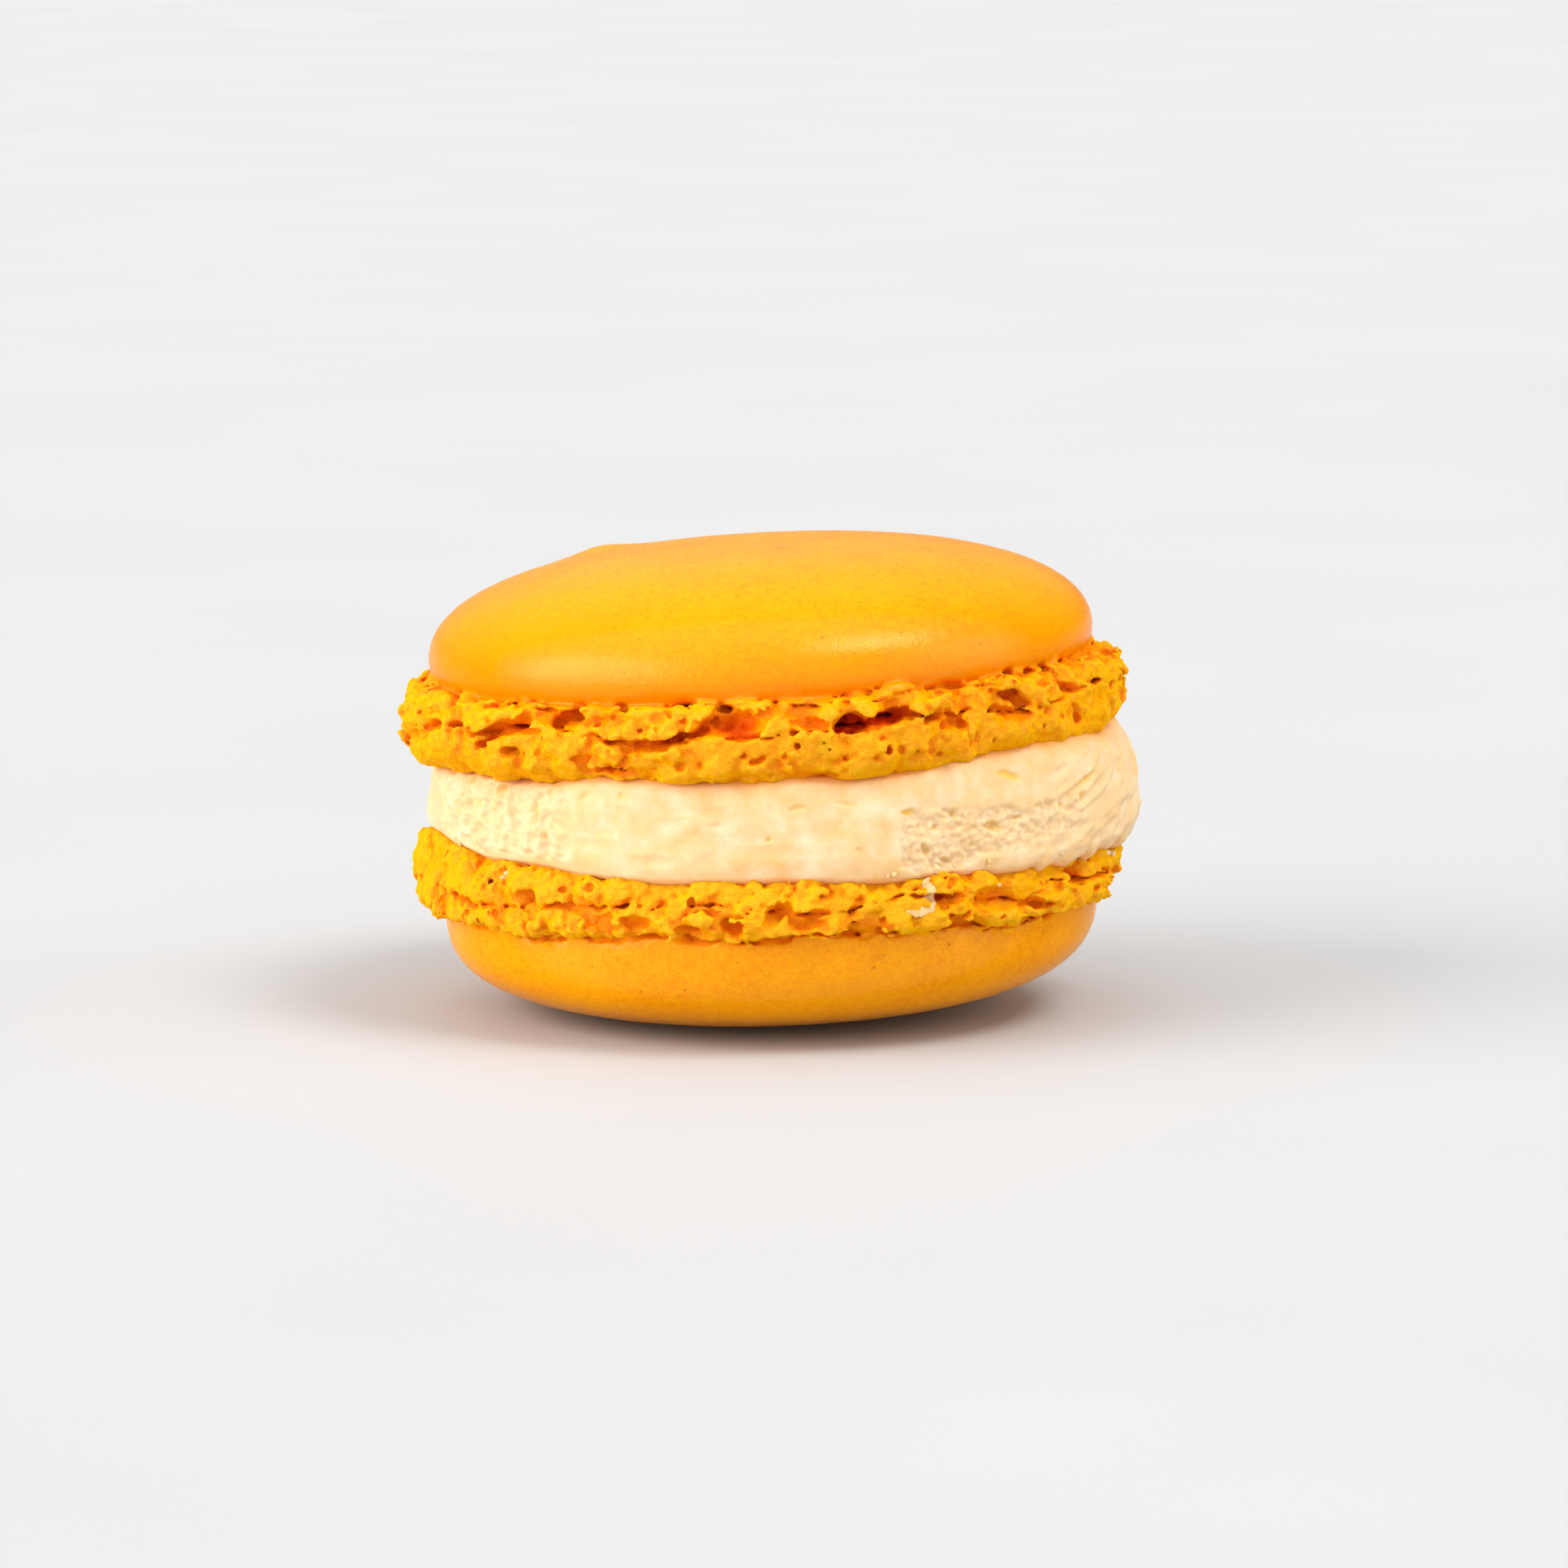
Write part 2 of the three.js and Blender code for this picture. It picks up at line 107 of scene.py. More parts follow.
# ---- Finer relief that only this script makes ----
# Pores, and places where a hole goes deeper or wider, in the same terms as the holes.
UPPER_PORES = [
    (-34, 4.2, 2.5, 1.1, 3.2, 0.1),
    (-31, 1.7, 1.1, 0.35, 0.8, 0),
    (-7, 4.55, 1.3, 0.6, 2.6, 0),
    (7, 3.5, 2.2, 0.7, 0.9, -0.1),
    (25.7, 3.15, 0.7, 0.5, 0.5, 0),
    (35.4, 1.8, 0.7, 0.8, 0.7, 0),
    (-2.4, 1.45, 1.0, 0.4, 0.6, 0.1),
    (18.8, 1.65, 0.55, 0.55, 0.6, 0),
    (26.5, 1.2, 0.4, 0.35, 0.5, 0),
    (11.9, 1.35, 0.25, 0.2, 0.4, 0),
    (21, 1.6, 0.45, 0.4, 0.3, 0),
    (7.1, 6.2, 0.4, 0.4, 1.75, 0),
]
LOWER_PORES = [
    (13, 2.2, 0.5, 0.5, 0.5, 0),
    (17.5, 1.0, 0.4, 0.4, 0.5, 0),
    (-9.4, 1.35, 0.7, 0.7, 0.7, 0),
    (-5.3, 1.6, 0.5, 0.4, 0.5, 0),
    (-17.5, 3.7, 1.0, 0.7, 0.7, 0),
    (-37, 3.9, 0.9, 0.5, 0.8, 0),
    (-33.3, 4.2, 1.0, 0.5, 0.6, 0),
    (29.5, 4.6, 0.45, 0.45, 1.55, 0),
]
# Knobs of foam that stand out: turn, height, inset, width and tallness.
UPPER_KNOBS = [
    (69, 5.55, 0.5, 0.8, 0.9),
    (74.5, 5.3, 0.25, 1.0, 0.9),
    (63, 5.35, 0.5, 1.0, 0.7),
    (80, 5.0, 0.1, 1.2, 0.9),
    (22, 5.0, 1.2, 2.6, 0.9),
    (6.5, 4.8, 0.9, 0.9, 0.6),
    (8.4, 4.2, 0.5, 0.7, 0.45),
    (28.3, 4.1, 0.1, 1.3, 0.9),
    (31.5, 1.75, -0.1, 0.7, 0.9),
    (42, 4.6, 0.3, 1.6, 0.8),
    (-20, 4.6, 0.4, 3.0, 0.6),
]
LOWER_KNOBS = [
    (14.5, 3.5, 0.1, 2.6, 0.8),
    (9.7, 3.4, 0.2, 1.4, 0.8),
    (-4, 2.7, -0.1, 2.0, 0.9),
    (-12, 2.6, 0.0, 1.6, 0.8),
    (-30, 3.3, 0.1, 2.2, 0.8),
    (31, 2.0, -0.05, 1.2, 0.8),
    (52, 2.9, 0.0, 1.6, 0.7),
    (-52, 3.3, 0.1, 2.0, 0.8),
]
PORE_WARP = 0.3  # share of the holes' raggedness that a pore has
RAG = {"size": 0.38, "height": 0.16, "seed": 103}  # fine raggedness of the holes' rims
BORDER_RAG = {"size": 0.8, "height": 0.35, "seed": 101}  # and of the foot's border
FOAM_RISE = 0.4  # how much further the foam reaches than the lumps
FOAM_FADE = 0.3  # and how quickly it gives way to the cap's skin
GRAINS = [  # rounded grains of foam: spacing, height, seed
    (1.25, 0.66, 61),
    (0.6, 0.38, 67),
]
GRAIN_WARP = {"size": 0.9, "reach": 0.22, "seed": 69}
GRIT = {"size": 0.36, "height": 0.13, "seed": 71}
BUBBLES = {"cell": 1.0, "least": 0.16, "most": 0.34, "share": 0.3, "seed": 73}
POCKETS = {"cell": 2.3, "least": 0.25, "most": 0.75, "share": 0.28, "seed": 77}
POCKET_FLATNESS = 1.7
OPENNESS_REACHES = (0.35, 0.8)  # how far out a crevice's walls are felt for, for the painted shade in crevices
PEEL = [  # faint unevenness of a cap
    {"size": 1.3, "height": 0.014, "seed": 91},
    {"size": 0.45, "height": 0.007, "seed": 97},
]
GRAINS_IN_HOLES, GRAINS_IN_HOLES_MEAN = 0.25, 0.2  # share of the grains that roughens the holes
DETAIL_REACH = 0.75  # how near the surface the fine relief is worked out
FAR = 9.0  # a distance that stands for nothing near

UPPER = {
    "name": "upper_shell",
    "cap_radius": 20.65,
    "cap_shift": -0.45,
    "foot_radius": 22.15,
    "foot_shift": -0.65,
    "foot_height": 4.85,
    "foot_dip": 0.0,
    "waist": 6.1,
    "dome": 6.15,
    "dome_power": 2.15,
    "lean": 0.6,
    "peak": {"turn": 236, "radius": 12.4, "height": 0.35, "spread": 1.3},
    "rests": False,
    "smooth_rim": 0.45,  # how much the grains fade towards the cream
    "ledge": (1.7, 0.2),  # rounding and blend of the foot where it meets the cap
    "holes": UPPER_HOLES,
    "pores": UPPER_PORES,
    "knobs": UPPER_KNOBS,
    "crevice": {"height": 3.1, "wander": 0.6, "tall": 0.85, "depth": 1.2, "open": 0.1, "seed": 79},
    "groove": {"drop": 0.15, "tall": 0.7, "depth": 1.2, "open": 0.05, "seed": 86},
    "seed": 3,
}
LOWER = {
    "name": "lower_shell",
    "cap_radius": 20.35,
    "cap_shift": -0.05,
    "foot_radius": 21.7,
    "foot_shift": -0.1,
    "foot_height": 4.4,
    "foot_dip": 0.5,
    "waist": 3.6,
    "dome": LOWER_HEIGHT - 3.6,
    "dome_power": 3.4,
    "lean": 1.5,
    "peak": None,
    "rests": True,
    "smooth_rim": 0.0,
    "ledge": (1.0, 0.1),
    "holes": LOWER_HOLES,
    "pores": LOWER_PORES,
    "knobs": LOWER_KNOBS,
    "crevice": {"height": 2.2, "wander": 0.8, "tall": 0.6, "depth": 0.7, "open": -0.1, "seed": 89},
    "groove": {"drop": 0.05, "tall": 1.0, "depth": 1.3, "open": 0.3, "seed": 94},
    "seed": 11,
}

# ---- Filling ----
FILLING_RADIUS = 20.9
FILLING_BULGE = 0.5
FILLING_SWELL, FILLING_SWELL_SIZE, FILLING_SEED = 0.3, 5.3, 41
SPILL = {"turn": 84, "spread": 38, "reach": 1.45, "level": 0.35, "tall": 0.72}
LEAST_SAG, MOST_SAG = -0.4, 0.85  # how far past a shell's face the cream's edge can be
HALVINGS = 12  # of that range, to find the edge
CREAM_OVERLAP = 0.06  # how far the cream presses into each shell
TUCK_DEPTH, TUCK_SHARE = 0.28, 0.07  # how the cream's edges turn in
EDGE_SHADE_REACHES = (0.42, 0.16)  # how far the painted shade, orange from bounced light, reaches into the cream under each shell, from above and from below
# Marks in the cream's side: turn, height above the lower shell, width, tallness, depth, slant, and
# how yellow they are.
CREAM_MARKS = [
    (22.6, 3.6, 1.0, 0.55, 0.16, 0.0, 1.0),
    (42.0, 5.3, 2.0, 0.5, 0.16, -0.3, 1.0),
    (59.5, 4.5, 2.6, 0.4, 0.2, 0.45, 0.7),
    (70.0, 5.9, 0.4, 1.1, 0.12, 0.0, 0.6),
    (-0.6, 2.2, 0.35, 0.28, 0.12, 0.0, 0.9),
    (-44.9, 4.9, 0.55, 0.35, 0.3, -0.3, 0.8),
    (-50.4, 4.2, 1.2, 0.5, 0.32, 0.5, 0.5),
    (-42.2, 3.0, 0.5, 1.3, 0.36, 0.0, 0.5),
    (-40.5, 1.6, 0.4, 0.4, 0.28, 0.0, 0.5),
    (-56.6, 3.1, 0.6, 0.5, 0.25, 0.0, 0.4),
    (-38.5, 4.3, 0.5, 1.0, 0.25, 0.6, 0.3),
    (-60.0, 4.4, 0.5, 0.8, 0.2, 0.0, 0.3),
    (-31.0, 4.4, 0.9, 0.5, 0.12, 0.6, 0.2),
    (-24.5, 4.6, 0.35, 0.35, 0.12, 0.0, 0.5),
    (4.0, 4.1, 1.0, 0.3, 0.12, 0.2, 0.4),
    (11.5, 4.3, 1.2, 0.3, 0.1, -0.2, 0.3),
    (-9.0, 3.0, 0.6, 0.3, 0.08, 0.0, 0.2),
    (14.0, 1.5, 0.5, 0.3, 0.1, 0.0, 0.3),
    (57.6, 3.4, 0.45, 0.7, 0.2, 0.0, 0.5),
    (52.5, 3.1, 0.4, 0.6, 0.2, 0.0, 0.5),
    (38.6, 2.3, 1.3, 0.6, 0.4, -0.3, 0.5),
    (43.5, 2.7, 0.6, 0.3, 0.25, 0.0, 0.4),
    (25.7, 1.3, 0.6, 0.8, 0.3, 0.0, 0.4),
    (31.0, 3.3, 0.5, 0.4, 0.25, 0.0, 0.5),
    (27.5, 2.5, 0.5, 0.3, 0.25, 0.0, 0.5),
    (34.5, 1.3, 0.6, 0.4, 0.25, 0.0, 0.3),
    (29.5, 0.5, 0.8, 0.4, 0.3, 0.0, 0.2),
]
CREAM_WAVES = [  # unevenness of its whole side: width, tallness, height, seed
    (2.6, 2.0, 0.07, 204),
    (1.0, 0.8, 0.05, 205),
    (0.4, 0.4, 0.02, 206),
]
CREAM_BUBBLES = {"cell": 1.7, "least": 0.06, "most": 0.2, "share": 0.4, "seed": 221}
# Where the cream is torn or spongy: first and last turn, lowest and highest height, softness of
# the sides.
TORN = [(-72, -36, 0.4, 6.2, 6.0), (118, 138, 0.3, 5.5, 6.0), (212, 236, 0.4, 5.5, 6.0)]
FOLDED = [(50, 96, 0.2, 6.2, 9.0)]
FOLD_SLANT = 22
FRINGE = {"turns": (47, 96), "soft": 12, "height": 0.3}  # where the lower edge is ragged
EDGE_STEPS, EDGE_REACH = (-0.8, -0.6, -0.4, -0.2, 0.0, 0.2, 0.4, 0.6, 0.8), 9
SPONGY = [
    (21.3, 35, 0.1, 3.6, 0.5),
    (29, 48, 0.6, 3.4, 9.0),
    (44, 58, 1.4, 3.4, 8.0),
    (150, 171, 1.6, 5.2, 5.0),
    (254, 270, 0.2, 3.4, 5.0),
]

# ---- Crumbs and the smear of cream ----
# On the cream's side: turn, height above the lower shell, size, how far out.
CREAM_BITS = [
    (20.0, -0.1, 0.42, 0.0),
    (18.9, -0.2, 0.22, 0.05),
    (37.4, 0.25, 0.32, 0.1),
    (37.4, -0.02, 0.2, 0.1),
    (28.0, 0.0, 0.45, 0.0),
    (31.5, 0.1, 0.3, 0.0),
    (53.4, 0.1, 0.3, 0.0),
    (-44.5, 5.75, 0.55, 0.25),
    (-47.0, 5.7, 0.45, 0.2),
    (-41.5, 5.7, 0.4, 0.2),
    (-54.0, 5.5, 0.4, 0.15),
    (131.0, 0.3, 0.6, 0.1),
    (134.5, 0.1, 0.4, 0.1),
    (163.0, 0.4, 0.35, 0.1),
    (221.0, 5.3, 0.5, 0.15),
    (229.0, 0.2, 0.55, 0.1),
    (262.0, 0.3, 0.5, 0.1),
    (296.0, 0.2, 0.3, 0.1),
]
# On the lower foot, in its own terms: turn, height, size.
CREAM_SPECKS = [
    (-47.8, 0.85, 0.42),
    (-49.2, 1.1, 0.28),
    (39.3, 1.3, 0.2),
    (73.0, 0.9, 0.6),
    (77.0, 1.2, 0.45),
    (142.0, 1.6, 0.35),
    (232.0, 1.1, 0.4),
]
# Orange crumbs on the cream: turn, height above the lower shell, size, how far out.
FOOT_BITS = [
    (33.2, 6.45, 0.42, 0.1),
    (34.2, 6.5, 0.36, 0.1),
    (32.6, 6.6, 0.3, 0.05),
    (148.0, 4.6, 0.35, 0.05),
    (205.0, 3.9, 0.3, 0.05),
    (279.0, 4.9, 0.4, 0.05),
]
# The smear's middle line on the lower foot: turn, height and half width.
SMEAR = [
    (25.2, 0.7, 0.25),
    (26.0, 0.9, 0.5),
    (26.6, 1.25, 0.52),
    (26.6, 1.7, 0.4),
    (27.0, 2.1, 0.42),
    (26.3, 2.4, 0.44),
    (24.6, 2.6, 0.36),
    (22.9, 2.5, 0.3),
    (21.6, 2.48, 0.18),
]
SMEAR_THICKNESS, SMEAR_LIFT = 0.1, 0.03
CRUMB_LIFT, CRUMB_FLATNESS = 0.03, 0.8  # of the crumbs on the lower foot
FOOT_SEARCH = (24.0, 18.5, -0.02)  # radii at which the foot's surface is looked for
SMEAR_STEPS, SMEAR_SIDES = 70, 20
# What the crumbs' material reads as relief, in place of measured values.
CREAM_TONE, FOOT_TONE = (0.15, 0.0, 0.3), (1.0, 0.0, 0.75)
NO_QUADS = np.zeros((0, 4), dtype=int)

# ---- How finely the surfaces are meshed ----
COLUMNS = 896
FAN_STEP = 1.6  # degrees between the slopes of the fan
REACH_STEP = 0.135
MOST_TRIANGLES = 190000
FAN = (-80, 46)  # the fan's lowest and highest slope, degrees
REACHES = (0.9, 7.6)  # how far from the core's rim the fan starts and ends
INNER_WALL = 0.05  # how solid a shell is where the fan starts, behind the deepest holes
BORDER_DEPTH = 0.3  # how deep a hole may go at the first and last slope of the fan
CORE_RADIUS, CORE_HEIGHT = 17.0, 2.6  # the rim that the fan spreads from
FIRST_SLOPE_STEP, SLOPE_STEP = 2.5, 3.2  # degrees between the rings that follow the fan
RING_STEP, RING_SPACING = 0.33, 0.2  # least width of the rings near the middle, and of their faces
FACE_RADII = (16.6, 12.0, 5.0)  # rings on a shell's inner face
CREAM_RADII = (19.6, 12)  # and on the cream's faces
RAY_LENGTH, RAY_HALVINGS = 10.0, 18  # of the rays that find where a shell ends
RELIEF_RANGE = (-2.9, 1.4)  # between which distances from the plain form the relief lies
FILLING_COLUMNS = 900
FILLING_ROWS = 62


def hypot(*parts):
    return np.sqrt(sum(np.square(p) for p in parts))


def smoothstep(value, low, high):
    t = np.clip((value - low) / (high - low), 0, 1)
    return t * t * (3 - 2 * t)


def wrap(angle):
    """An angle in radians, from minus half a turn to half a turn."""
    return angle - 2 * np.pi * np.round(angle / (2 * np.pi))


# ---- Noise ----
def corner_value(i, j, k, seed):
    """A repeatable number from 0 to 1 for each lattice corner."""
    mixed = np.sin(i * 127.1 + j * 311.7 + k * 74.7 + seed * 53.3) * 43758.5453
    return mixed - np.floor(mixed)


class Lattice:
    """The cells that some points lie in, with random numbers at the corners round them."""

    def __init__(self, x, y, z, margin):
        self.places = [np.asarray(v, dtype=float) for v in (x, y, z)]
        self.bases = [np.floor(v) for v in self.places]
        low = [b.min() - margin for b in self.bases]
        self.sizes = [int(b.max() - n) + margin + 2 for b, n in zip(self.bases, low)]
        self.axes = [n + np.arange(s) for n, s in zip(low, self.sizes)]
        i, j, k = [(b - n).astype(np.int64) for b, n in zip(self.bases, low)]
        self.flat = (i * self.sizes[1] + j) * self.sizes[2] + k

    def corners(self, seed):
        i, j, k = np.meshgrid(*self.axes, indexing="ij", sparse=True)
        return corner_value(i, j, k, seed).ravel()

    def index(self, a, b, c):
        return self.flat + (a * self.sizes[1] + b) * self.sizes[2] + c


def smooth_noise(x, y, z, seed):
    """Smooth noise from -1 to 1 that varies over about one unit."""
    x, y, z = np.broadcast_arrays(x, y, z)
    lattice = Lattice(x, y, z, 0)
    corners = lattice.corners(seed)
    parts = [p - b for p, b in zip(lattice.places, lattice.bases)]
    u, v, w = [t * t * (3 - 2 * t) for t in parts]
    total = np.zeros(np.shape(x))
    for a in (0, 1):
        for b in (0, 1):
            for c in (0, 1):
                share = (u if a else 1 - u) * (v if b else 1 - v) * (w if c else 1 - w)
                total += share * corners[lattice.index(a, b, c)]
    return 2 * total - 1


def rough_noise(form, x, y, z):
    """Smooth noise of the size, height and seed that a form gives."""
    size = form["size"]
    return form["height"] * smooth_noise(x / size, y / size, z / size, form["seed"])


def centres_nearby(lattice, seed):
    """For the 27 cells round each point: the cell's number, and how far its centre is, squared."""
    shifts = [lattice.corners(seed + n) for n in range(3)]
    parts = [p - b for p, b in zip(lattice.places, lattice.bases)]
    for moves in itertools.product((-1, 0, 1), repeat=3):
        at = lattice.index(*moves)
        gaps = [m + s[at] - p for m, s, p in zip(moves, shifts, parts)]
        yield at, sum(g * g for g in gaps)


def cell_distance(x, y, z, seed):
    """Distance to the nearest of a set of scattered centres, one in each unit cell."""
    nearest = np.full(np.shape(x), np.inf)
    for _, squared in centres_nearby(Lattice(x, y, z, 1), seed):
        nearest = np.minimum(nearest, squared)
    return np.sqrt(nearest)


def bubble_distance(x, y, z, form):
    """Distance to the nearest of some scattered round bubbles, negative inside one."""
    size = form["cell"]
    lattice = Lattice(x / size, y / size, z / size, 1)
    chance = lattice.corners(form["seed"] + 3)
    span = form["most"] - form["least"]
    sizes = form["least"] + span * (chance / form["share"]) ** 2
    radii = np.where(chance < form["share"], sizes, -FAR)
    nearest = np.full(np.shape(x), np.inf)
    for at, squared in centres_nearby(lattice, form["seed"]):
        nearest = np.minimum(nearest, size * np.sqrt(squared) - radii[at])
    return nearest


def random_source(seed):
    """A generator of repeatable random numbers from 0 to 1."""
    state = seed * 7919 + 1
    while True:
        state = state * 16807 % 2147483647
        yield state / 2147483647


# ---- The form of a shell: distances are negative inside ----
def soft_union(a, b, softness):
    h = np.clip(0.5 + 0.5 * (b - a) / softness, 0, 1)
    return b + (a - b) * h - softness * h * (1 - h)


def cap_distance(shell, radius, height):
    above = height > shell["waist"]
    tall = np.where(above, shell["dome"], ROLL_HEIGHT)
    power = np.where(above, shell["dome_power"], 2.0)
    across = radius / shell["cap_radius"]
    up = np.abs(height - shell["waist"]) / tall
    level = across**SIDE_POWER + up**power
    sideways = SIDE_POWER * across ** (SIDE_POWER - 1) / shell["cap_radius"]
    slope = hypot(sideways, power * up ** (power - 1) / tall)
    return (level - 1) / np.maximum(slope, LEAST_SLOPE)


def foot_height(shell, x, y):
    return shell["foot_height"] - shell["foot_dip"] * y * y / np.maximum(x * x + y * y, 1)


def foot_distance(shell, x, y, height, cap_rounding=FOOT_ROUNDING):
    half = foot_height(shell, x, y) / 2
    rounding = np.where(height > half, cap_rounding, FOOT_ROUNDING)
    out = hypot(x - shell["foot_shift"], y) - shell["foot_radius"] + rounding
    up = np.abs(height - half) - half + rounding
    outside = hypot(np.maximum(out, 0), np.maximum(up, 0))
    return outside + np.minimum(np.maximum(out, up), 0) - rounding


def back_holes(seed):
    """Holes for the part of the foot that the lists leave out."""
    numbers = random_source(seed)
    holes = []
    for turn in BACK_TURNS:
        jitter = (next(numbers) - 0.5) * BACK_TURNS.step
        ranges = (BACK_HEIGHT, BACK_WIDTH, BACK_TALL, BACK_DEPTH)
        sizes = [low + (high - low) * next(numbers) for low, high in ranges]
        holes.append((turn + jitter, *sizes, 0))
    return holes


def foot_inset(shell, x, y):
    """How far inside a foot's outline a place is."""
    return shell["foot_radius"] - hypot(x - shell["foot_shift"], y)


def hole_distance(shell, x, y, height, holes, warp_share, rag):
    """Distance to the nearest hole of a list, negative inside it."""
    inset = foot_inset(shell, x, y)
    place = [v / HOLE_WARP_SIZE for v in (x, y, height)]
    warp_along = warp_share * HOLE_WARP * smooth_noise(*place, shell["seed"] + 20) + rag
    warp_up = warp_share * HOLE_WARP * smooth_noise(*place, shell["seed"] + 21) + rag
    turn = np.arctan2(x, -y)
    nearest = np.full(x.shape, FAR)
    for hole_turn, hole_height, width, tall, depth, slant in holes:
        along = wrap(turn - math.radians(hole_turn)) * shell["foot_radius"]
        near = np.abs(along) <= width
        a = (along[near] + warp_along[near]) / (width / 2)
        b = (height[near] - hole_height - slant * along[near] + warp_up[near]) / (tall / 2)
        c = inset[near] / depth
        nearest[near] = np.minimum(nearest[near], (hypot(a, b, c) - 1) * (tall / 2))
    return nearest


def border_wave(shell, x, y):
    size = BORDER_WAVE_SIZE
    return BORDER_WAVE * smooth_noise(x / size, y / size, 0, shell["seed"] + 5)


def foot_share(shell, x, y, height, rag=0, fade=BORDER_FADE):
    """1 on the foot and 0 on the cap, with a border that wanders."""
    border = foot_height(shell, x, y) - BORDER_DROP + border_wave(shell, x, y) + rag
    return 1 - smoothstep(height, border - fade / 2, border + fade / 2)


def foam_share(shell, x, y, height):
    """1 where a shell has foam and 0 where it has skin, with a ragged border."""
    rag = rough_noise(BORDER_RAG, x, y, height)
    return foot_share(shell, x, y, height, rag + FOAM_RISE, FOAM_FADE)


def swell_of_foot(shell, x, y):
    return SWELL_HEIGHT * smooth_noise(x / SWELL_SIZE, y / SWELL_SIZE, 0, shell["seed"] + 7)


def peak_height(shell, x, y):
    if not shell["peak"]:
        return 0
    peak = shell["peak"]
    dx = x - peak["radius"] * math.sin(math.radians(peak["turn"]))
    dy = y + peak["radius"] * math.cos(math.radians(peak["turn"]))
    return peak["height"] * np.exp(-(dx * dx + dy * dy) / (2 * peak["spread"] ** 2))


def plain_distance(shell, x, y, height, cap_rounding=FOOT_ROUNDING):
    """Distances to a shell's cap and to its foot, without lumps or holes."""
    radius = hypot(x - shell["cap_shift"], y)
    cap = cap_distance(shell, radius, height - peak_height(shell, x, y))
    return cap, foot_distance(shell, x, y, height, cap_rounding)


def lumps_of_foot(shell, x, y, height):
    place = [v / LUMP_SIZE for v in (x, y, height)]
    return LUMP_HEIGHT * (0.55 - cell_distance(*place, shell["seed"]))


def bulk_distance(shell, x, y, height, cap_rounding=FOOT_ROUNDING, blend=NECK_BLEND):
    """Distance to a shell with its lumps, without holes or finer relief."""
    cap, foot = plain_distance(shell, x, y, height, cap_rounding)
    share = foot_share(shell, x, y, height)
    relief = lumps_of_foot(shell, x, y, height) + swell_of_foot(shell, x, y)
    return soft_union(cap, foot - share * relief, blend)


def knob_distance(shell, x, y, height, inset):
    """Distance to the nearest knob of a shell's foot."""
    turn = np.arctan2(x, -y)
    nearest = np.full(x.shape, FAR)
    for knob_turn, knob_height, knob_inset, width, tall in shell["knobs"]:
        along = wrap(turn - math.radians(knob_turn)) * shell["foot_radius"]
        near = np.abs(along) <= width
        parts = (height[near] - knob_height, inset[near] - knob_inset)
        level = hypot(along[near] / (width / 2), *[p / (tall / 2) for p in parts])
        nearest[near] = np.minimum(nearest[near], (level - 1) * (tall / 2))
    return nearest


def ring_crack(x, y, height, inset, form, middle):
    """Distance to a chain of pockets that runs round a foot at some height."""
    seed = form["seed"]
    middle = middle + 0.25 * smooth_noise(x / 0.8, y / 0.8, height / 0.8, seed + 1)
    slow = smooth_noise(x / 2.4, y / 2.4, 0, seed + 2)
    quick = smooth_noise(x / 0.9, y / 0.9, height / 1.5, seed + 3)
    tall = form["tall"] * np.clip(0.8 * slow + 0.5 * quick + form["open"], 0.02, 1)
    level = hypot((height - middle) / (tall / 2), inset / form["depth"])
    return (level - 1) * (tall / 2)


def cracks_of_foot(shell, x, y, height, inset):
    """Distance to the cracks between a foot's tiers and under its cap's edge."""
    form = shell["crevice"]
    middle = form["height"] + form["wander"] * smooth_noise(x / 4, y / 4, 0, form["seed"])
    between = ring_crack(x, y, height, inset, form, middle)
    form = shell["groove"]
    middle = foot_height(shell, x, y) - form["drop"] + border_wave(shell, x, y)
    under = ring_crack(x, y, height, inset - 0.3, form, middle)
    return np.minimum(between, under)


def coarse_distance(shell, x, y, height):
    """Distance to a shell with its lumps and knobs, and to its holes and cracks."""
    inset = foot_inset(shell, x, y)
    bulk = bulk_distance(shell, x, y, height, *shell["ledge"])
    bulk = soft_union(bulk, knob_distance(shell, x, y, height, inset), 0.25)
    holes = shell["holes"] + back_holes(shell["seed"])
    carved = hole_distance(shell, x, y, height, holes, 1, rough_noise(RAG, x, y, height))
    carved = soft_union(carved, cracks_of_foot(shell, x, y, height, inset), 0.2)
    pores = hole_distance(shell, x, y, height, shell["pores"], PORE_WARP, 0)
    return bulk, soft_union(carved, pores, 0.1)


def grains_of_foam(shell, x, y, height):
    """Height of the fine rounded grains and the grit that cover a foot."""
    size, reach, seed = GRAIN_WARP["size"], GRAIN_WARP["reach"], GRAIN_WARP["seed"]
    place = [v / size for v in (x, y, height)]
    moved = [v + reach * smooth_noise(*place, seed + n) for n, v in enumerate((x, y, height))]
    fine = np.zeros(x.shape)
    for size, tall, seed in GRAINS:
        centre = cell_distance(*[v / size for v in moved], seed + shell["seed"])
        fine += tall * (0.36 - centre**2)
    return fine + rough_noise(GRIT, x, y, height)


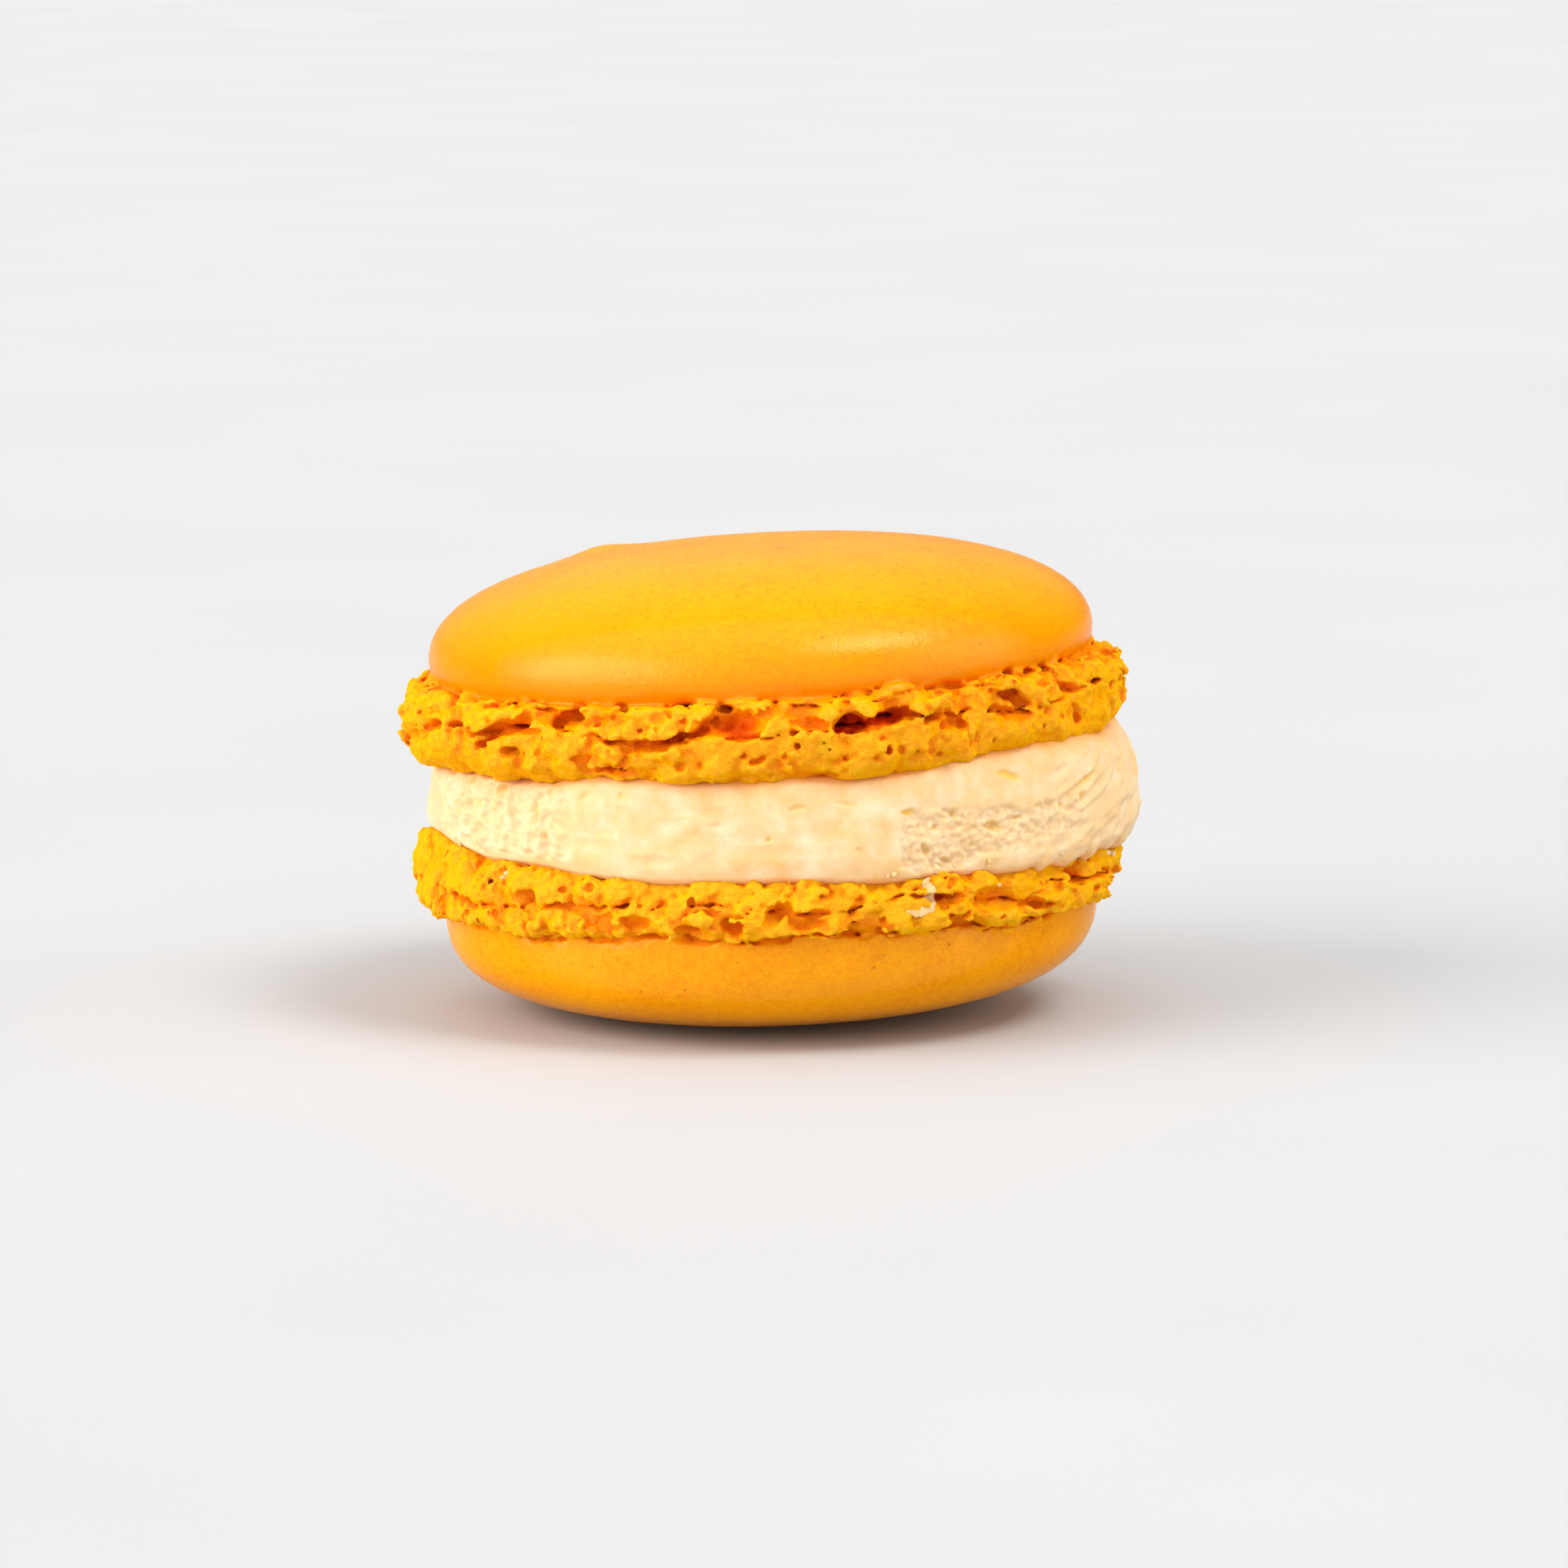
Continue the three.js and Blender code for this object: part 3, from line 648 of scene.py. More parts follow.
def detailed_distance(shell, x, y, height):
    """Distance to a shell's baked surface, and the heights of its crests."""
    bulk, carved = coarse_distance(shell, x, y, height)
    coarse = np.maximum(bulk, -carved)
    distance, crest = coarse.copy(), np.zeros(x.shape)
    near = np.abs(coarse) < DETAIL_REACH
    x, y, height, bulk, carved = [v[near] for v in (x, y, height, bulk, carved)]
    share = foam_share(shell, x, y, height)
    grains = grains_of_foam(shell, x, y, height)
    grains *= 1 - shell["smooth_rim"] * (1 - smoothstep(height, 0.3, 1.6))
    peel = sum(rough_noise(form, x, y, height) for form in PEEL)
    body = bulk - share * grains - (1 - share) * peel
    bubbles = bubble_distance(x, y, height, BUBBLES)
    pockets = bubble_distance(x, y, height * POCKET_FLATNESS, POCKETS)
    small = np.minimum(bubbles, pockets) + 0.9 * (1 - share)
    carved = carved + GRAINS_IN_HOLES * share * (grains - GRAINS_IN_HOLES_MEAN)
    distance[near] = -soft_union(-body, soft_union(carved, small, 0.1), 0.1)
    crest[near] = share * (lumps_of_foot(shell, x, y, height) / LUMP_HEIGHT + 1.5 * grains)
    return distance, crest


def relief_facts(shell, vertices, normals):
    """For each vertex: share of foot, depth under the foot's outline, crest and how shut in. The
    material turns crests into painted highlight, crevices into painted shade, and deep hollows redder,
    partly as the foam's own colour and partly as painted shade.
    """
    x, y, height = vertices.T
    cap, foot = plain_distance(shell, x, y, height)
    share = foam_share(shell, x, y, height)
    swell = foot_share(shell, x, y, height) * swell_of_foot(shell, x, y)
    depth = -soft_union(cap, foot - swell, NECK_BLEND)
    crest = detailed_distance(shell, x, y, height)[1]
    # How shut in each vertex is, for painted shade in crevices
    crevice_shade = np.zeros(len(x))
    for reach in OPENNESS_REACHES:
        free = detailed_distance(shell, *(vertices + reach * normals).T)[0]
        crevice_shade += (1 - np.clip(free / reach, 0, 1)) / len(OPENNESS_REACHES)
    facts = (share, np.clip(depth / 2, 0, 1), np.clip(0.5 + crest / 2, 0, 1), crevice_shade)
    return np.stack(facts, axis=1)


# ---- Meshing of a distance field ----
# Corners of a grid cell are numbered by bits, one for each axis. An edge is numbered 4 * axis plus
# its place across the two other axes.
def edge_number(axis, u, v):
    return 4 * axis + 2 * u + v


def corner_number(axis, along, u, v):
    bits = [0, 0, 0]
    bits[axis], bits[(axis + 1) % 3], bits[(axis + 2) % 3] = along, u, v
    return bits[0] + 2 * bits[1] + 4 * bits[2]


def cell_sheets():
    """For each sign pattern of a cell: how many sheets cross it, and each edge's sheet."""
    edges = {}
    for axis in range(3):
        for u in (0, 1):
            for v in (0, 1):
                ends = (corner_number(axis, 0, u, v), corner_number(axis, 1, u, v))
                edges[frozenset(ends)] = edge_number(axis, u, v)
    faces = []
    for axis in range(3):
        for side in (0, 1):
            ring = ((0, 0), (1, 0), (1, 1), (0, 1))
            faces.append([corner_number(axis, side, u, v) for u, v in ring])
    counts = np.zeros(256, dtype=np.int64)
    sheets = np.full((256, 12), 0, dtype=np.int64)
    for code in range(256):
        inside = [code >> n & 1 for n in range(8)]
        groups = {n: n for ends, n in edges.items() if len({inside[c] for c in ends}) == 2}

        def join(a, b):
            old, new = groups[a], groups[b]
            for n in groups:
                if groups[n] == old:
                    groups[n] = new

        for face in faces:
            sides = [edges[frozenset((face[n], face[(n + 1) % 4]))] for n in range(4)]
            crossed = [s for s in sides if s in groups]
            if len(crossed) == 2:
                join(*crossed)
            elif len(crossed) == 4:
                for n in range(4):
                    if not inside[face[n]]:
                        join(sides[n - 1], sides[n])
        names = sorted(set(groups.values()))
        counts[code] = len(names)
        for n, group in groups.items():
            sheets[code, n] = names.index(group)
    return counts, sheets


def field_mesh(values, points):
    """Vertices and quads of the surface where a grid's values pass through zero."""
    counts, sheets = cell_sheets()
    inside = values < 0
    rows, steps = values.shape[1] - 1, values.shape[2] - 1
    code = np.zeros((values.shape[0], rows, steps), dtype=np.int64)
    for n in range(8):
        a, b, c = n & 1, n >> 1 & 1, n >> 2 & 1
        corner = np.roll(inside, -a, axis=0)[:, b : b + rows, c : c + steps]
        code += corner.astype(np.int64) << n
    number = counts[code]
    base = (np.cumsum(number.ravel()) - number.ravel()).reshape(code.shape)
    total = int(number.sum())
    sums = np.zeros((3, total))
    weights = np.zeros(total)
    quads = []
    for axis in range(3):
        lengths = list(values.shape)
        if axis:
            lengths[axis] -= 1
        start = tuple(slice(0, n) for n in lengths)
        if axis == 0:
            other_inside = np.roll(inside, -1, axis=0)
            other_values = np.roll(values, -1, axis=0)
            other_points = np.roll(points, -1, axis=1)
        else:
            stop = tuple(slice(1, None) if n == axis else slice(None) for n in range(3))
            other_inside, other_values = inside[stop], values[stop]
            other_points = points[(slice(None), *stop)]
        crossing = np.nonzero(inside[start] != other_inside)
        first, second = values[start][crossing], other_values[crossing]
        part = first / (first - second)
        near = points[(slice(None), *start)][(slice(None), *crossing)]
        far = other_points[(slice(None), *crossing)]
        spot = near + (far - near) * part
        leaving = inside[start][crossing]
        corners = []
        complete = np.ones(len(part), dtype=bool)
        for u, v in ((1, 1), (0, 1), (0, 0), (1, 0)):
            cell = list(crossing)
            for other, back in (((axis + 1) % 3, u), ((axis + 2) % 3, v)):
                cell[other] = cell[other] - back
            cell[0] = cell[0] % values.shape[0]
            real = (cell[1] >= 0) & (cell[1] < rows) & (cell[2] >= 0) & (cell[2] < steps)
            complete &= real
            cell = [np.where(real, n, 0) for n in cell]
            sheet = sheets[code[tuple(cell)], edge_number(axis, u, v)]
            vertex = base[tuple(cell)] + sheet
            corners.append(vertex)
            for n in range(3):
                sums[n] += np.bincount(vertex[real], weights=spot[n][real], minlength=total)
            weights += np.bincount(vertex[real], minlength=total)
        quad = np.stack(corners, axis=1)[complete]
        quad[~leaving[complete]] = quad[~leaving[complete]][:, ::-1]
        quads.append(quad)
    return (sums / np.maximum(weights, 1)).T, np.concatenate(quads)


def largest_piece(vertices, quads):
    """The faces of the largest connected piece, and the vertices that they use."""
    label = np.arange(len(vertices))
    pairs = np.concatenate([quads[:, (n, (n + 1) % 4)] for n in range(4)])
    while True:
        low = np.minimum(label[pairs[:, 0]], label[pairs[:, 1]])
        new = label.copy()
        np.minimum.at(new, pairs[:, 0], low)
        np.minimum.at(new, pairs[:, 1], low)
        np.minimum.at(new, label, new)
        new = new[new]
        if np.array_equal(new, label):
            break
        label = new
    owner = label[quads[:, 0]]
    kept = quads[owner == np.bincount(owner).argmax()]
    used = np.unique(kept)
    renumbered = np.zeros(len(vertices), dtype=np.int64)
    renumbered[used] = np.arange(len(used))
    return vertices[used], renumbered[kept]


def border_loops(quads):
    """The closed loops of vertices along the open borders of a mesh, longest first."""
    ends = np.concatenate([quads[:, (n, (n + 1) % 4)] for n in range(4)])
    width = quads.max() + 1
    forward = ends[:, 0] * width + ends[:, 1]
    backward = ends[:, 1] * width + ends[:, 0]
    open_ends = ends[~np.isin(forward, backward)]
    after = {int(b): int(a) for a, b in open_ends}
    loops = []
    while after:
        here = next(iter(after))
        loop = []
        while here in after:
            loop.append(here)
            here = after.pop(here)
        loops.append(loop)
    return sorted(loops, key=len, reverse=True)


def zip_rings(ring_a, turns_a, ring_b, turns_b):
    """Triangles between two closed rings of vertices, joined where their turns match."""
    triangles = []
    a = b = 0
    while a < len(ring_a) or b < len(ring_b):
        here_a, here_b = ring_a[a % len(ring_a)], ring_b[b % len(ring_b)]
        next_a = turns_a[(a + 1) % len(ring_a)] + 2 * np.pi * ((a + 1) // len(ring_a))
        next_b = turns_b[(b + 1) % len(ring_b)] + 2 * np.pi * ((b + 1) // len(ring_b))
        if a < len(ring_a) and (b >= len(ring_b) or next_a <= next_b):
            a += 1
            triangles.append((here_a, here_b, ring_a[a % len(ring_a)]))
        else:
            b += 1
            triangles.append((here_a, here_b, ring_b[b % len(ring_b)]))
    return triangles


def turn_of(points):
    return np.arctan2(points[:, 0], -points[:, 1]) % (2 * np.pi)


def loop_by_turn(loop, vertices):
    """A loop that starts at the smallest turn and runs towards greater ones, with its turns."""
    turns = turn_of(vertices[loop])
    steps = wrap(np.diff(np.append(turns, turns[0])))
    ordered = list(loop) if steps.sum() > 0 else list(loop)[::-1]
    turns = turn_of(vertices[ordered])
    start = int(turns.argmin())
    ordered = ordered[start:] + ordered[:start]
    turns = np.maximum.accumulate(turn_of(vertices[ordered]))
    return ordered, turns


def surface_ring(shell, columns, start, out, up):
    """Points where the rays of one ring leave a shell. The rays start on the core disc."""
    turns = 2 * np.pi * np.arange(columns) / columns
    sin, cos = np.sin(turns), np.cos(turns)
    inner, outer = np.zeros(columns), np.full(columns, RAY_LENGTH)
    for _ in range(RAY_HALVINGS):
        middle = (inner + outer) / 2
        radius = start + middle * out
        place = (radius * sin, -radius * cos, CORE_HEIGHT + middle * up)
        cap, foot = plain_distance(shell, *place)
        peel = sum(rough_noise(form, *place) for form in PEEL)
        beyond = np.maximum(np.minimum(cap, foot) - peel, -place[2]) > 0
        outer = np.where(beyond, middle, outer)
        inner = np.where(beyond, inner, middle)
    radius = start + inner * out
    return np.stack([radius * sin, -radius * cos, CORE_HEIGHT + inner * up], axis=1)


def cap_rings(shell):
    """Rings from the top of the meshed fan over the dome to its middle."""
    rings = []
    for slope in np.arange(FAN[1] + FIRST_SLOPE_STEP, 90, SLOPE_STEP):
        up, out = math.sin(math.radians(slope)), math.cos(math.radians(slope))
        rings.append(surface_ring(shell, COLUMNS // 2, CORE_RADIUS, out, up))
    columns = COLUMNS // 2
    radius = CORE_RADIUS
    while radius > 0.5:
        if 2 * np.pi * radius / columns < RING_SPACING and columns > 20:
            columns //= 2
        rings.append(surface_ring(shell, columns, radius, 0, 1))
        radius -= max(RING_STEP, 2 * np.pi * radius / columns)
    rings.append(surface_ring(shell, 1, 0.0, 0, 1))
    return rings


def face_rings(shell):
    """Rings from the bottom of the meshed fan to the middle of the inner face."""
    columns = (COLUMNS // 2, COLUMNS // 8, COLUMNS // 32, 1)
    return [surface_ring(shell, n, r, 0, -1) for n, r in zip(columns, (*FACE_RADII, 0.0))]


def add_rings(vertices, faces, loop, rings, forward):
    """Continues a mesh from an open loop through rings of points, and closes it."""
    ring, turns = loop_by_turn(loop, vertices)
    ring = [int(n) for n in ring]
    total = len(vertices)
    parts = [vertices]
    for points in rings:
        new = list(range(total, total + len(points)))
        new_turns = 2 * np.pi * np.arange(len(points)) / len(points)
        if len(points) == 1:
            found = [(ring[n], new[0], ring[(n + 1) % len(ring)]) for n in range(len(ring))]
        else:
            found = zip_rings(ring, turns, new, new_turns)
        faces += found if forward else [t[::-1] for t in found]
        parts.append(points)
        total += len(points)
        ring, turns = new, new_turns
    return np.concatenate(parts)


def shell_field(shell):
    """A shell's distance field on the grid that fans out round the rim of its core."""
    turns = 2 * np.pi * np.arange(COLUMNS) / COLUMNS
    slopes = np.radians(np.arange(FAN[0], FAN[1] + 0.01, FAN_STEP))
    reaches = np.arange(REACHES[0], REACHES[1], REACH_STEP)
    turn, slope, reach = np.meshgrid(turns, slopes, reaches, indexing="ij")
    radius = CORE_RADIUS + reach * np.cos(slope)
    points = np.stack(
        [radius * np.sin(turn), -radius * np.cos(turn), CORE_HEIGHT + reach * np.sin(slope)]
    )
    cap, foot = plain_distance(shell, *points)
    rough = np.minimum(cap, foot)
    values = rough.copy()
    band = (rough < RELIEF_RANGE[1]) & (rough > RELIEF_RANGE[0])
    values[band] = detailed_distance(shell, *points[:, band])[0]
    values[:, :, 0] = np.minimum(values[:, :, 0], -INNER_WALL)
    for end in (0, -1):
        values[:, end] = np.minimum(values[:, end], rough[:, end] + BORDER_DEPTH)
    return np.maximum(values, -points[2]), points


def shell_surface(shell):
    """Vertices, faces and colour facts of a whole shell in its own terms."""
    values, points = shell_field(shell)
    vertices, quads = largest_piece(*field_mesh(values, points))
    low, high = sorted(border_loops(quads)[:2], key=lambda loop: vertices[loop][:, 2].mean())
    faces = []
    vertices = add_rings(vertices, faces, high, cap_rings(shell), False)
    vertices = add_rings(vertices, faces, low, face_rings(shell), True)
    quads, triangles = facing_out(vertices, quads, np.array(faces))
    facts = relief_facts(shell, vertices, vertex_normals(vertices, quads, triangles))
    return vertices, quads, triangles, facts


def all_triangles(quads, triangles):
    return np.concatenate([quads[:, (0, 1, 2)], quads[:, (0, 2, 3)], triangles])


def vertex_normals(vertices, quads, triangles):
    both = all_triangles(quads, triangles)
    a, b, c = [vertices[both[:, n]] for n in range(3)]
    faces = np.cross(b - a, c - a)
    totals = [
        sum(np.bincount(both[:, k], weights=faces[:, n], minlength=len(vertices)) for k in range(3))
        for n in range(3)
    ]
    normals = np.stack(totals, axis=1)
    return normals / np.maximum(np.linalg.norm(normals, axis=1, keepdims=True), 1e-12)


def facing_out(vertices, quads, triangles):
    """The same faces, all turned so that they face outwards."""
    both = all_triangles(quads, triangles)
    a, b, c = [vertices[both[:, n]] for n in range(3)]
    if np.einsum("ij,ij->", a, np.cross(b, c)) < 0:
        return quads[:, ::-1], triangles[:, ::-1]
    return quads, triangles


def place_shell(shell, points):
    """A shell's points, in its own terms, where the macaron has them."""
    x, y, height = points.T.copy()
    up = smoothstep(height, 0, shell["foot_height"])
    rise = math.tan(math.radians(shell["lean"])) * x * up
    if not shell["rests"]:
        z = height + rise
        angle = math.radians(UPPER_LEAN)
        turned_x = x * math.cos(angle) - z * math.sin(angle)
        turned_z = x * math.sin(angle) + z * math.cos(angle)
        return np.stack([turned_x, y, turned_z + LOWER_HEIGHT + FILLING_HEIGHT], axis=1)
    on_dome = smoothstep(height, *DOME_HEIGHTS)
    spread = hypot(x, y)
    shifted_share = np.clip((SHIFT_RADIUS - spread) / (SHIFT_RADIUS - REST_RADIUS), 0, 1)
    x = x + REST_OFFSET * on_dome * shifted_share
    rise *= smoothstep(hypot(x - REST_OFFSET, y), REST_RADIUS, 2 * REST_RADIUS)
    flat = on_dome * (1 - smoothstep(spread, REST_RADIUS, FLAT_FADE_RADIUS))
    z = -(height + (LOWER_HEIGHT - height) * flat) + rise
    return np.stack([x, y, np.maximum(z, -LOWER_HEIGHT) + LOWER_HEIGHT], axis=1)


# ---- Objects ----
def add_to_scene(name, data):
    thing = bpy.data.objects.new(name, data)
    bpy.context.scene.collection.objects.link(thing)
    return thing


def make_object(name, points, quads, triangles, facts=None):
    mesh = bpy.data.meshes.new(name)
    corners = np.concatenate([np.ravel(quads), np.ravel(triangles)]).astype(np.int32)
    sizes = np.concatenate([np.full(len(quads), 4), np.full(len(triangles), 3)])
    mesh.vertices.add(len(points))
    mesh.vertices.foreach_set("co", np.ravel(points * MM).astype(np.float32))
    mesh.loops.add(len(corners))
    mesh.loops.foreach_set("vertex_index", corners)
    mesh.polygons.add(len(sizes))
    mesh.polygons.foreach_set("loop_start", (np.cumsum(sizes) - sizes).astype(np.int32))
    mesh.polygons.foreach_set("use_smooth", np.ones(len(sizes), dtype=bool))
    mesh.update(calc_edges=True)
    mesh.validate()
    if facts is not None:
        layer = mesh.color_attributes.new("relief", "FLOAT_COLOR", "POINT")
        values = np.zeros((len(points), 4), dtype=np.float32)
        values[:, : facts.shape[1]] = facts
        layer.data.foreach_set("color", values.ravel())
    return add_to_scene(name, mesh)


def thin_out(thing):
    """Leaves out triangles where the surface is smooth, so that the piece stays light."""
    thing.data.calc_loop_triangles()
    number = len(thing.data.loop_triangles)
    if number <= MOST_TRIANGLES:
        return
    modifier = thing.modifiers.new("thin", "DECIMATE")
    modifier.ratio = MOST_TRIANGLES / number
    graph = bpy.context.evaluated_depsgraph_get()
    mesh = bpy.data.meshes.new_from_object(thing.evaluated_get(graph))
    thing.modifiers.remove(modifier)
    old = thing.data
    thing.data = mesh
    mesh.name = thing.name
    bpy.data.meshes.remove(old)


def make_piece(name, points, quads, triangles, facts, material):
    """A piece of the macaron that shows."""
    thing = make_object(name, points, *facing_out(points, quads, triangles), facts)
    thin_out(thing)
    thing.data.materials.append(material)
    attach(thing, "root")
    return thing


def build_shell(shell, name, material):
    vertices, quads, triangles, facts = shell_surface(shell)
    placed = place_shell(shell, vertices)
    thing = make_piece(name, placed, quads, triangles, facts, material)
    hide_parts(shell["name"])


# ---- The cream ----
def wrap_degrees(turns):
    return (turns + 180) % 360 - 180


def filling_radius(turn, share):
    away = wrap_degrees(np.degrees(turn) - SPILL["turn"])
    across = np.exp(-((away / SPILL["spread"]) ** 2))
    spill = SPILL["reach"] * across * (1 - ((share - SPILL["level"]) / SPILL["tall"]) ** 2)
    bulge = FILLING_BULGE * (1 - (2 * share - 1) ** 4)
    place = (FILLING_RADIUS * np.sin(turn), -FILLING_RADIUS * np.cos(turn), FILLING_HEIGHT * share)
    slow = smooth_noise(*[v / FILLING_SWELL_SIZE for v in place], FILLING_SEED)
    return FILLING_RADIUS + bulge + spill + FILLING_SWELL * slow


def contact_height(shell, x, y):
    """Height, in a shell's own terms, up to which the cream presses against it."""
    low, high = np.full(x.shape, LEAST_SAG), np.full(x.shape, MOST_SAG)
    for _ in range(HALVINGS):
        middle = (low + high) / 2
        inside = bulk_distance(shell, x, y, middle) < -CREAM_OVERLAP
        inside &= middle > CREAM_OVERLAP
        high = np.where(inside, middle, high)
        low = np.where(inside, low, middle)
    return high


def patch_share(turns, height, first, last, lowest, highest, soft):
    """1 inside a patch of the cream's side and 0 outside, with ragged soft sides."""
    middle, half = (first + last) / 2, (last - first) / 2
    away = np.abs(wrap_degrees(turns - middle))
    across = 1 - smoothstep(away, half - soft / 2, half + soft / 2)
    up = smoothstep(height, lowest - 0.2, lowest + 0.2)
    return across * up * (1 - smoothstep(height, highest - 0.3, highest + 0.3))


def cream_relief(x, y, z):
    """How far the cream's side stands out, and how yellow and how spongy it is."""
    turns = np.degrees(np.arctan2(x, -y))

    def noise(size, tall, seed):
        return smooth_noise(x / size, y / size, z / tall, seed)

    def ridge(size, tall, seed):
        return 1 - 2 * np.abs(noise(size, tall, seed))

    ragged = z + 0.35 * noise(0.8, 0.8, 201) + 0.15 * noise(0.3, 0.3, 202)
    ragged_turns = turns + 0.5 * noise(0.7, 0.5, 203)
    torn, folded, spongy = [
        np.clip(sum(patch_share(ragged_turns, ragged, *patch) for patch in patches), 0, 1)
        for patches in (TORN, FOLDED, SPONGY)
    ]
    relief = sum(height * noise(size, tall, seed) for size, tall, height, seed in CREAM_WAVES)
    smears = 0.03 * ridge(3.4, 0.75, 207) * (1 - spongy)
    flakes = 0.2 * ridge(0.9, 1.3, 208) + 0.2 * noise(0.55, 0.5, 209) + 0.1 * noise(0.27, 0.25, 210)
    along = np.radians(turns) * FILLING_RADIUS
    slant = math.radians(FOLD_SLANT)
    down_fold = along * math.cos(slant) + z * math.sin(slant)
    over_fold = z * math.cos(slant) - along * math.sin(slant)
    folds = 1 - 2 * np.abs(smooth_noise(down_fold / 3.2, over_fold / 0.8, 0, 216))
    folds = 0.14 * folds + 0.1 * smooth_noise(down_fold / 0.9, over_fold / 0.4, 0, 217)
    sponge = 0.45 - cell_distance(x / 0.52, y / 0.52, z / 0.44, 211)
    crumbly = 0.32 * sponge + 0.13 * noise(0.26, 0.24, 212) + 0.16 * noise(0.9, 0.7, 213) - 0.15
    relief = relief + smears + torn * (flakes - 0.08) + folded * folds + spongy * crumbly
    yellow = np.zeros(x.shape)
    for mark_turn, height, width, tall, depth, slope, tint in CREAM_MARKS:
        along = np.radians(wrap_degrees(turns - mark_turn)) * FILLING_RADIUS
        near = np.abs(along) < 2 * width
        rise = z[near] - height - slope * along[near] + 0.12 * noise(0.35, 0.35, 214)[near]
        wide = along[near] + 0.15 * noise(0.4, 0.4, 215)[near]
        inside = 1 - smoothstep(hypot(wide / (width / 2), rise / (tall / 2)), 0.45, 1.25)
        relief[near] -= depth * inside
        yellow[near] = np.maximum(yellow[near], tint * inside)
    tiny = bubble_distance(x, y, z, CREAM_BUBBLES)
    relief -= 0.1 * (1 - smoothstep(tiny, -0.1, 0.05))
    return relief, yellow, np.clip(torn * 0.6 + folded * 0.4 + spongy, 0, 1)


def cream_edges(turn):
    """Heights of the cream's lower and upper edge at each turn. The edges run evenly."""
    edges = []
    for shell, share in ((LOWER, 0.0), (UPPER, 1.0)):
        radius = np.minimum(filling_radius(turn, share), shell["foot_radius"] - 0.9)
        edge = 0
        for step in EDGE_STEPS:
            beside = turn + math.radians(EDGE_REACH * step)
            height = contact_height(shell, radius * np.sin(beside), -radius * np.cos(beside))
            edge = edge + height * (1 - step * step) / sum(1 - n * n for n in EDGE_STEPS)
        edges.append(edge)
    face = FILLING_HEIGHT + FILLING_RADIUS * np.sin(turn) * math.tan(math.radians(UPPER_LEAN))
    degrees = np.degrees(turn)
    fringe = patch_share(degrees, np.ones(turn.shape), *FRINGE["turns"], 0, 2, FRINGE["soft"])
    along = turn * FILLING_RADIUS
    rags = smooth_noise(along / 0.7, 0, 0, 218) + 0.5 * smooth_noise(along / 0.3, 0, 0, 219)
    return FRINGE["height"] * fringe * rags - edges[0], face + edges[1]


def cream_side(turn, share):
    """Points of the cream's side, and their colour facts. Heights are above the lower shell."""
    bottom, top = cream_edges(turn[:, 0])
    z = bottom[:, None] + (top - bottom)[:, None] * share
    radius = filling_radius(turn, share)
    place = (radius * np.sin(turn), -radius * np.cos(turn), z)
    relief, yellow, spongy = cream_relief(*place)
    ends = smoothstep(np.minimum(share, 1 - share), 0, 0.05)
    tuck = TUCK_DEPTH * (1 - smoothstep(np.minimum(share, 1 - share), 0, TUCK_SHARE))
    radius = radius + relief * (0.35 + 0.65 * ends) - tuck
    # Painted shade along the cream's edges under the shells, orange from bounced light
    from_above = np.exp(-(top[:, None] - z) / EDGE_SHADE_REACHES[0])
    from_below = np.exp(-(z - bottom[:, None]) / EDGE_SHADE_REACHES[1])
    edge_shade = from_above + 0.6 * from_below
    points = np.stack([radius * np.sin(turn), -radius * np.cos(turn), z], axis=-1)
    facts = np.stack([yellow, np.clip(edge_shade, 0, 1), spongy], axis=-1)
    return points, facts


def build_cream(material):
    turns = 2 * np.pi * np.arange(FILLING_COLUMNS) / FILLING_COLUMNS
    shares = np.linspace(1, 0, FILLING_ROWS)
    turn, share = np.meshgrid(turns, shares, indexing="ij")
    points, facts = cream_side(turn, share)
    columns = np.arange(FILLING_COLUMNS)
    quads = []
    for row in range(FILLING_ROWS - 1):
        a = columns * FILLING_ROWS + row
        b = (columns + 1) % FILLING_COLUMNS * FILLING_ROWS + row
        quads.append(np.stack([a, a + 1, b + 1, b], axis=1))
    vertices = points.reshape(-1, 3)
    triangles = []
    for row, shell, forward in ((0, UPPER, False), (FILLING_ROWS - 1, LOWER, True)):
        loop = list(columns * FILLING_ROWS + row)
        sizes = zip((FILLING_COLUMNS // 2, 60, 1), (*CREAM_RADII, 0))
        rings = [cream_face_ring(shell, n, radius) for n, radius in sizes]
        vertices = add_rings(vertices, triangles, loop, rings, forward)
    extra = np.zeros((len(vertices) - points.shape[0] * points.shape[1], 3))
    facts = np.concatenate([facts.reshape(-1, 3), extra])
    quads, triangles = np.concatenate(quads), np.array(triangles)
    placed = vertices + np.array([0, 0, LOWER_HEIGHT])
    thing = make_piece("buttercream_ring", placed, quads, triangles, facts, material)
    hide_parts("filling")


def cream_face_ring(shell, columns, radius):
    turns = 2 * np.pi * np.arange(columns) / columns
    x, y = radius * np.sin(turns), -radius * np.cos(turns)
    height = contact_height(shell, x, y)
    face = FILLING_HEIGHT + x * math.tan(math.radians(UPPER_LEAN))
    return np.stack([x, y, face + height if shell is UPPER else -height], axis=1)


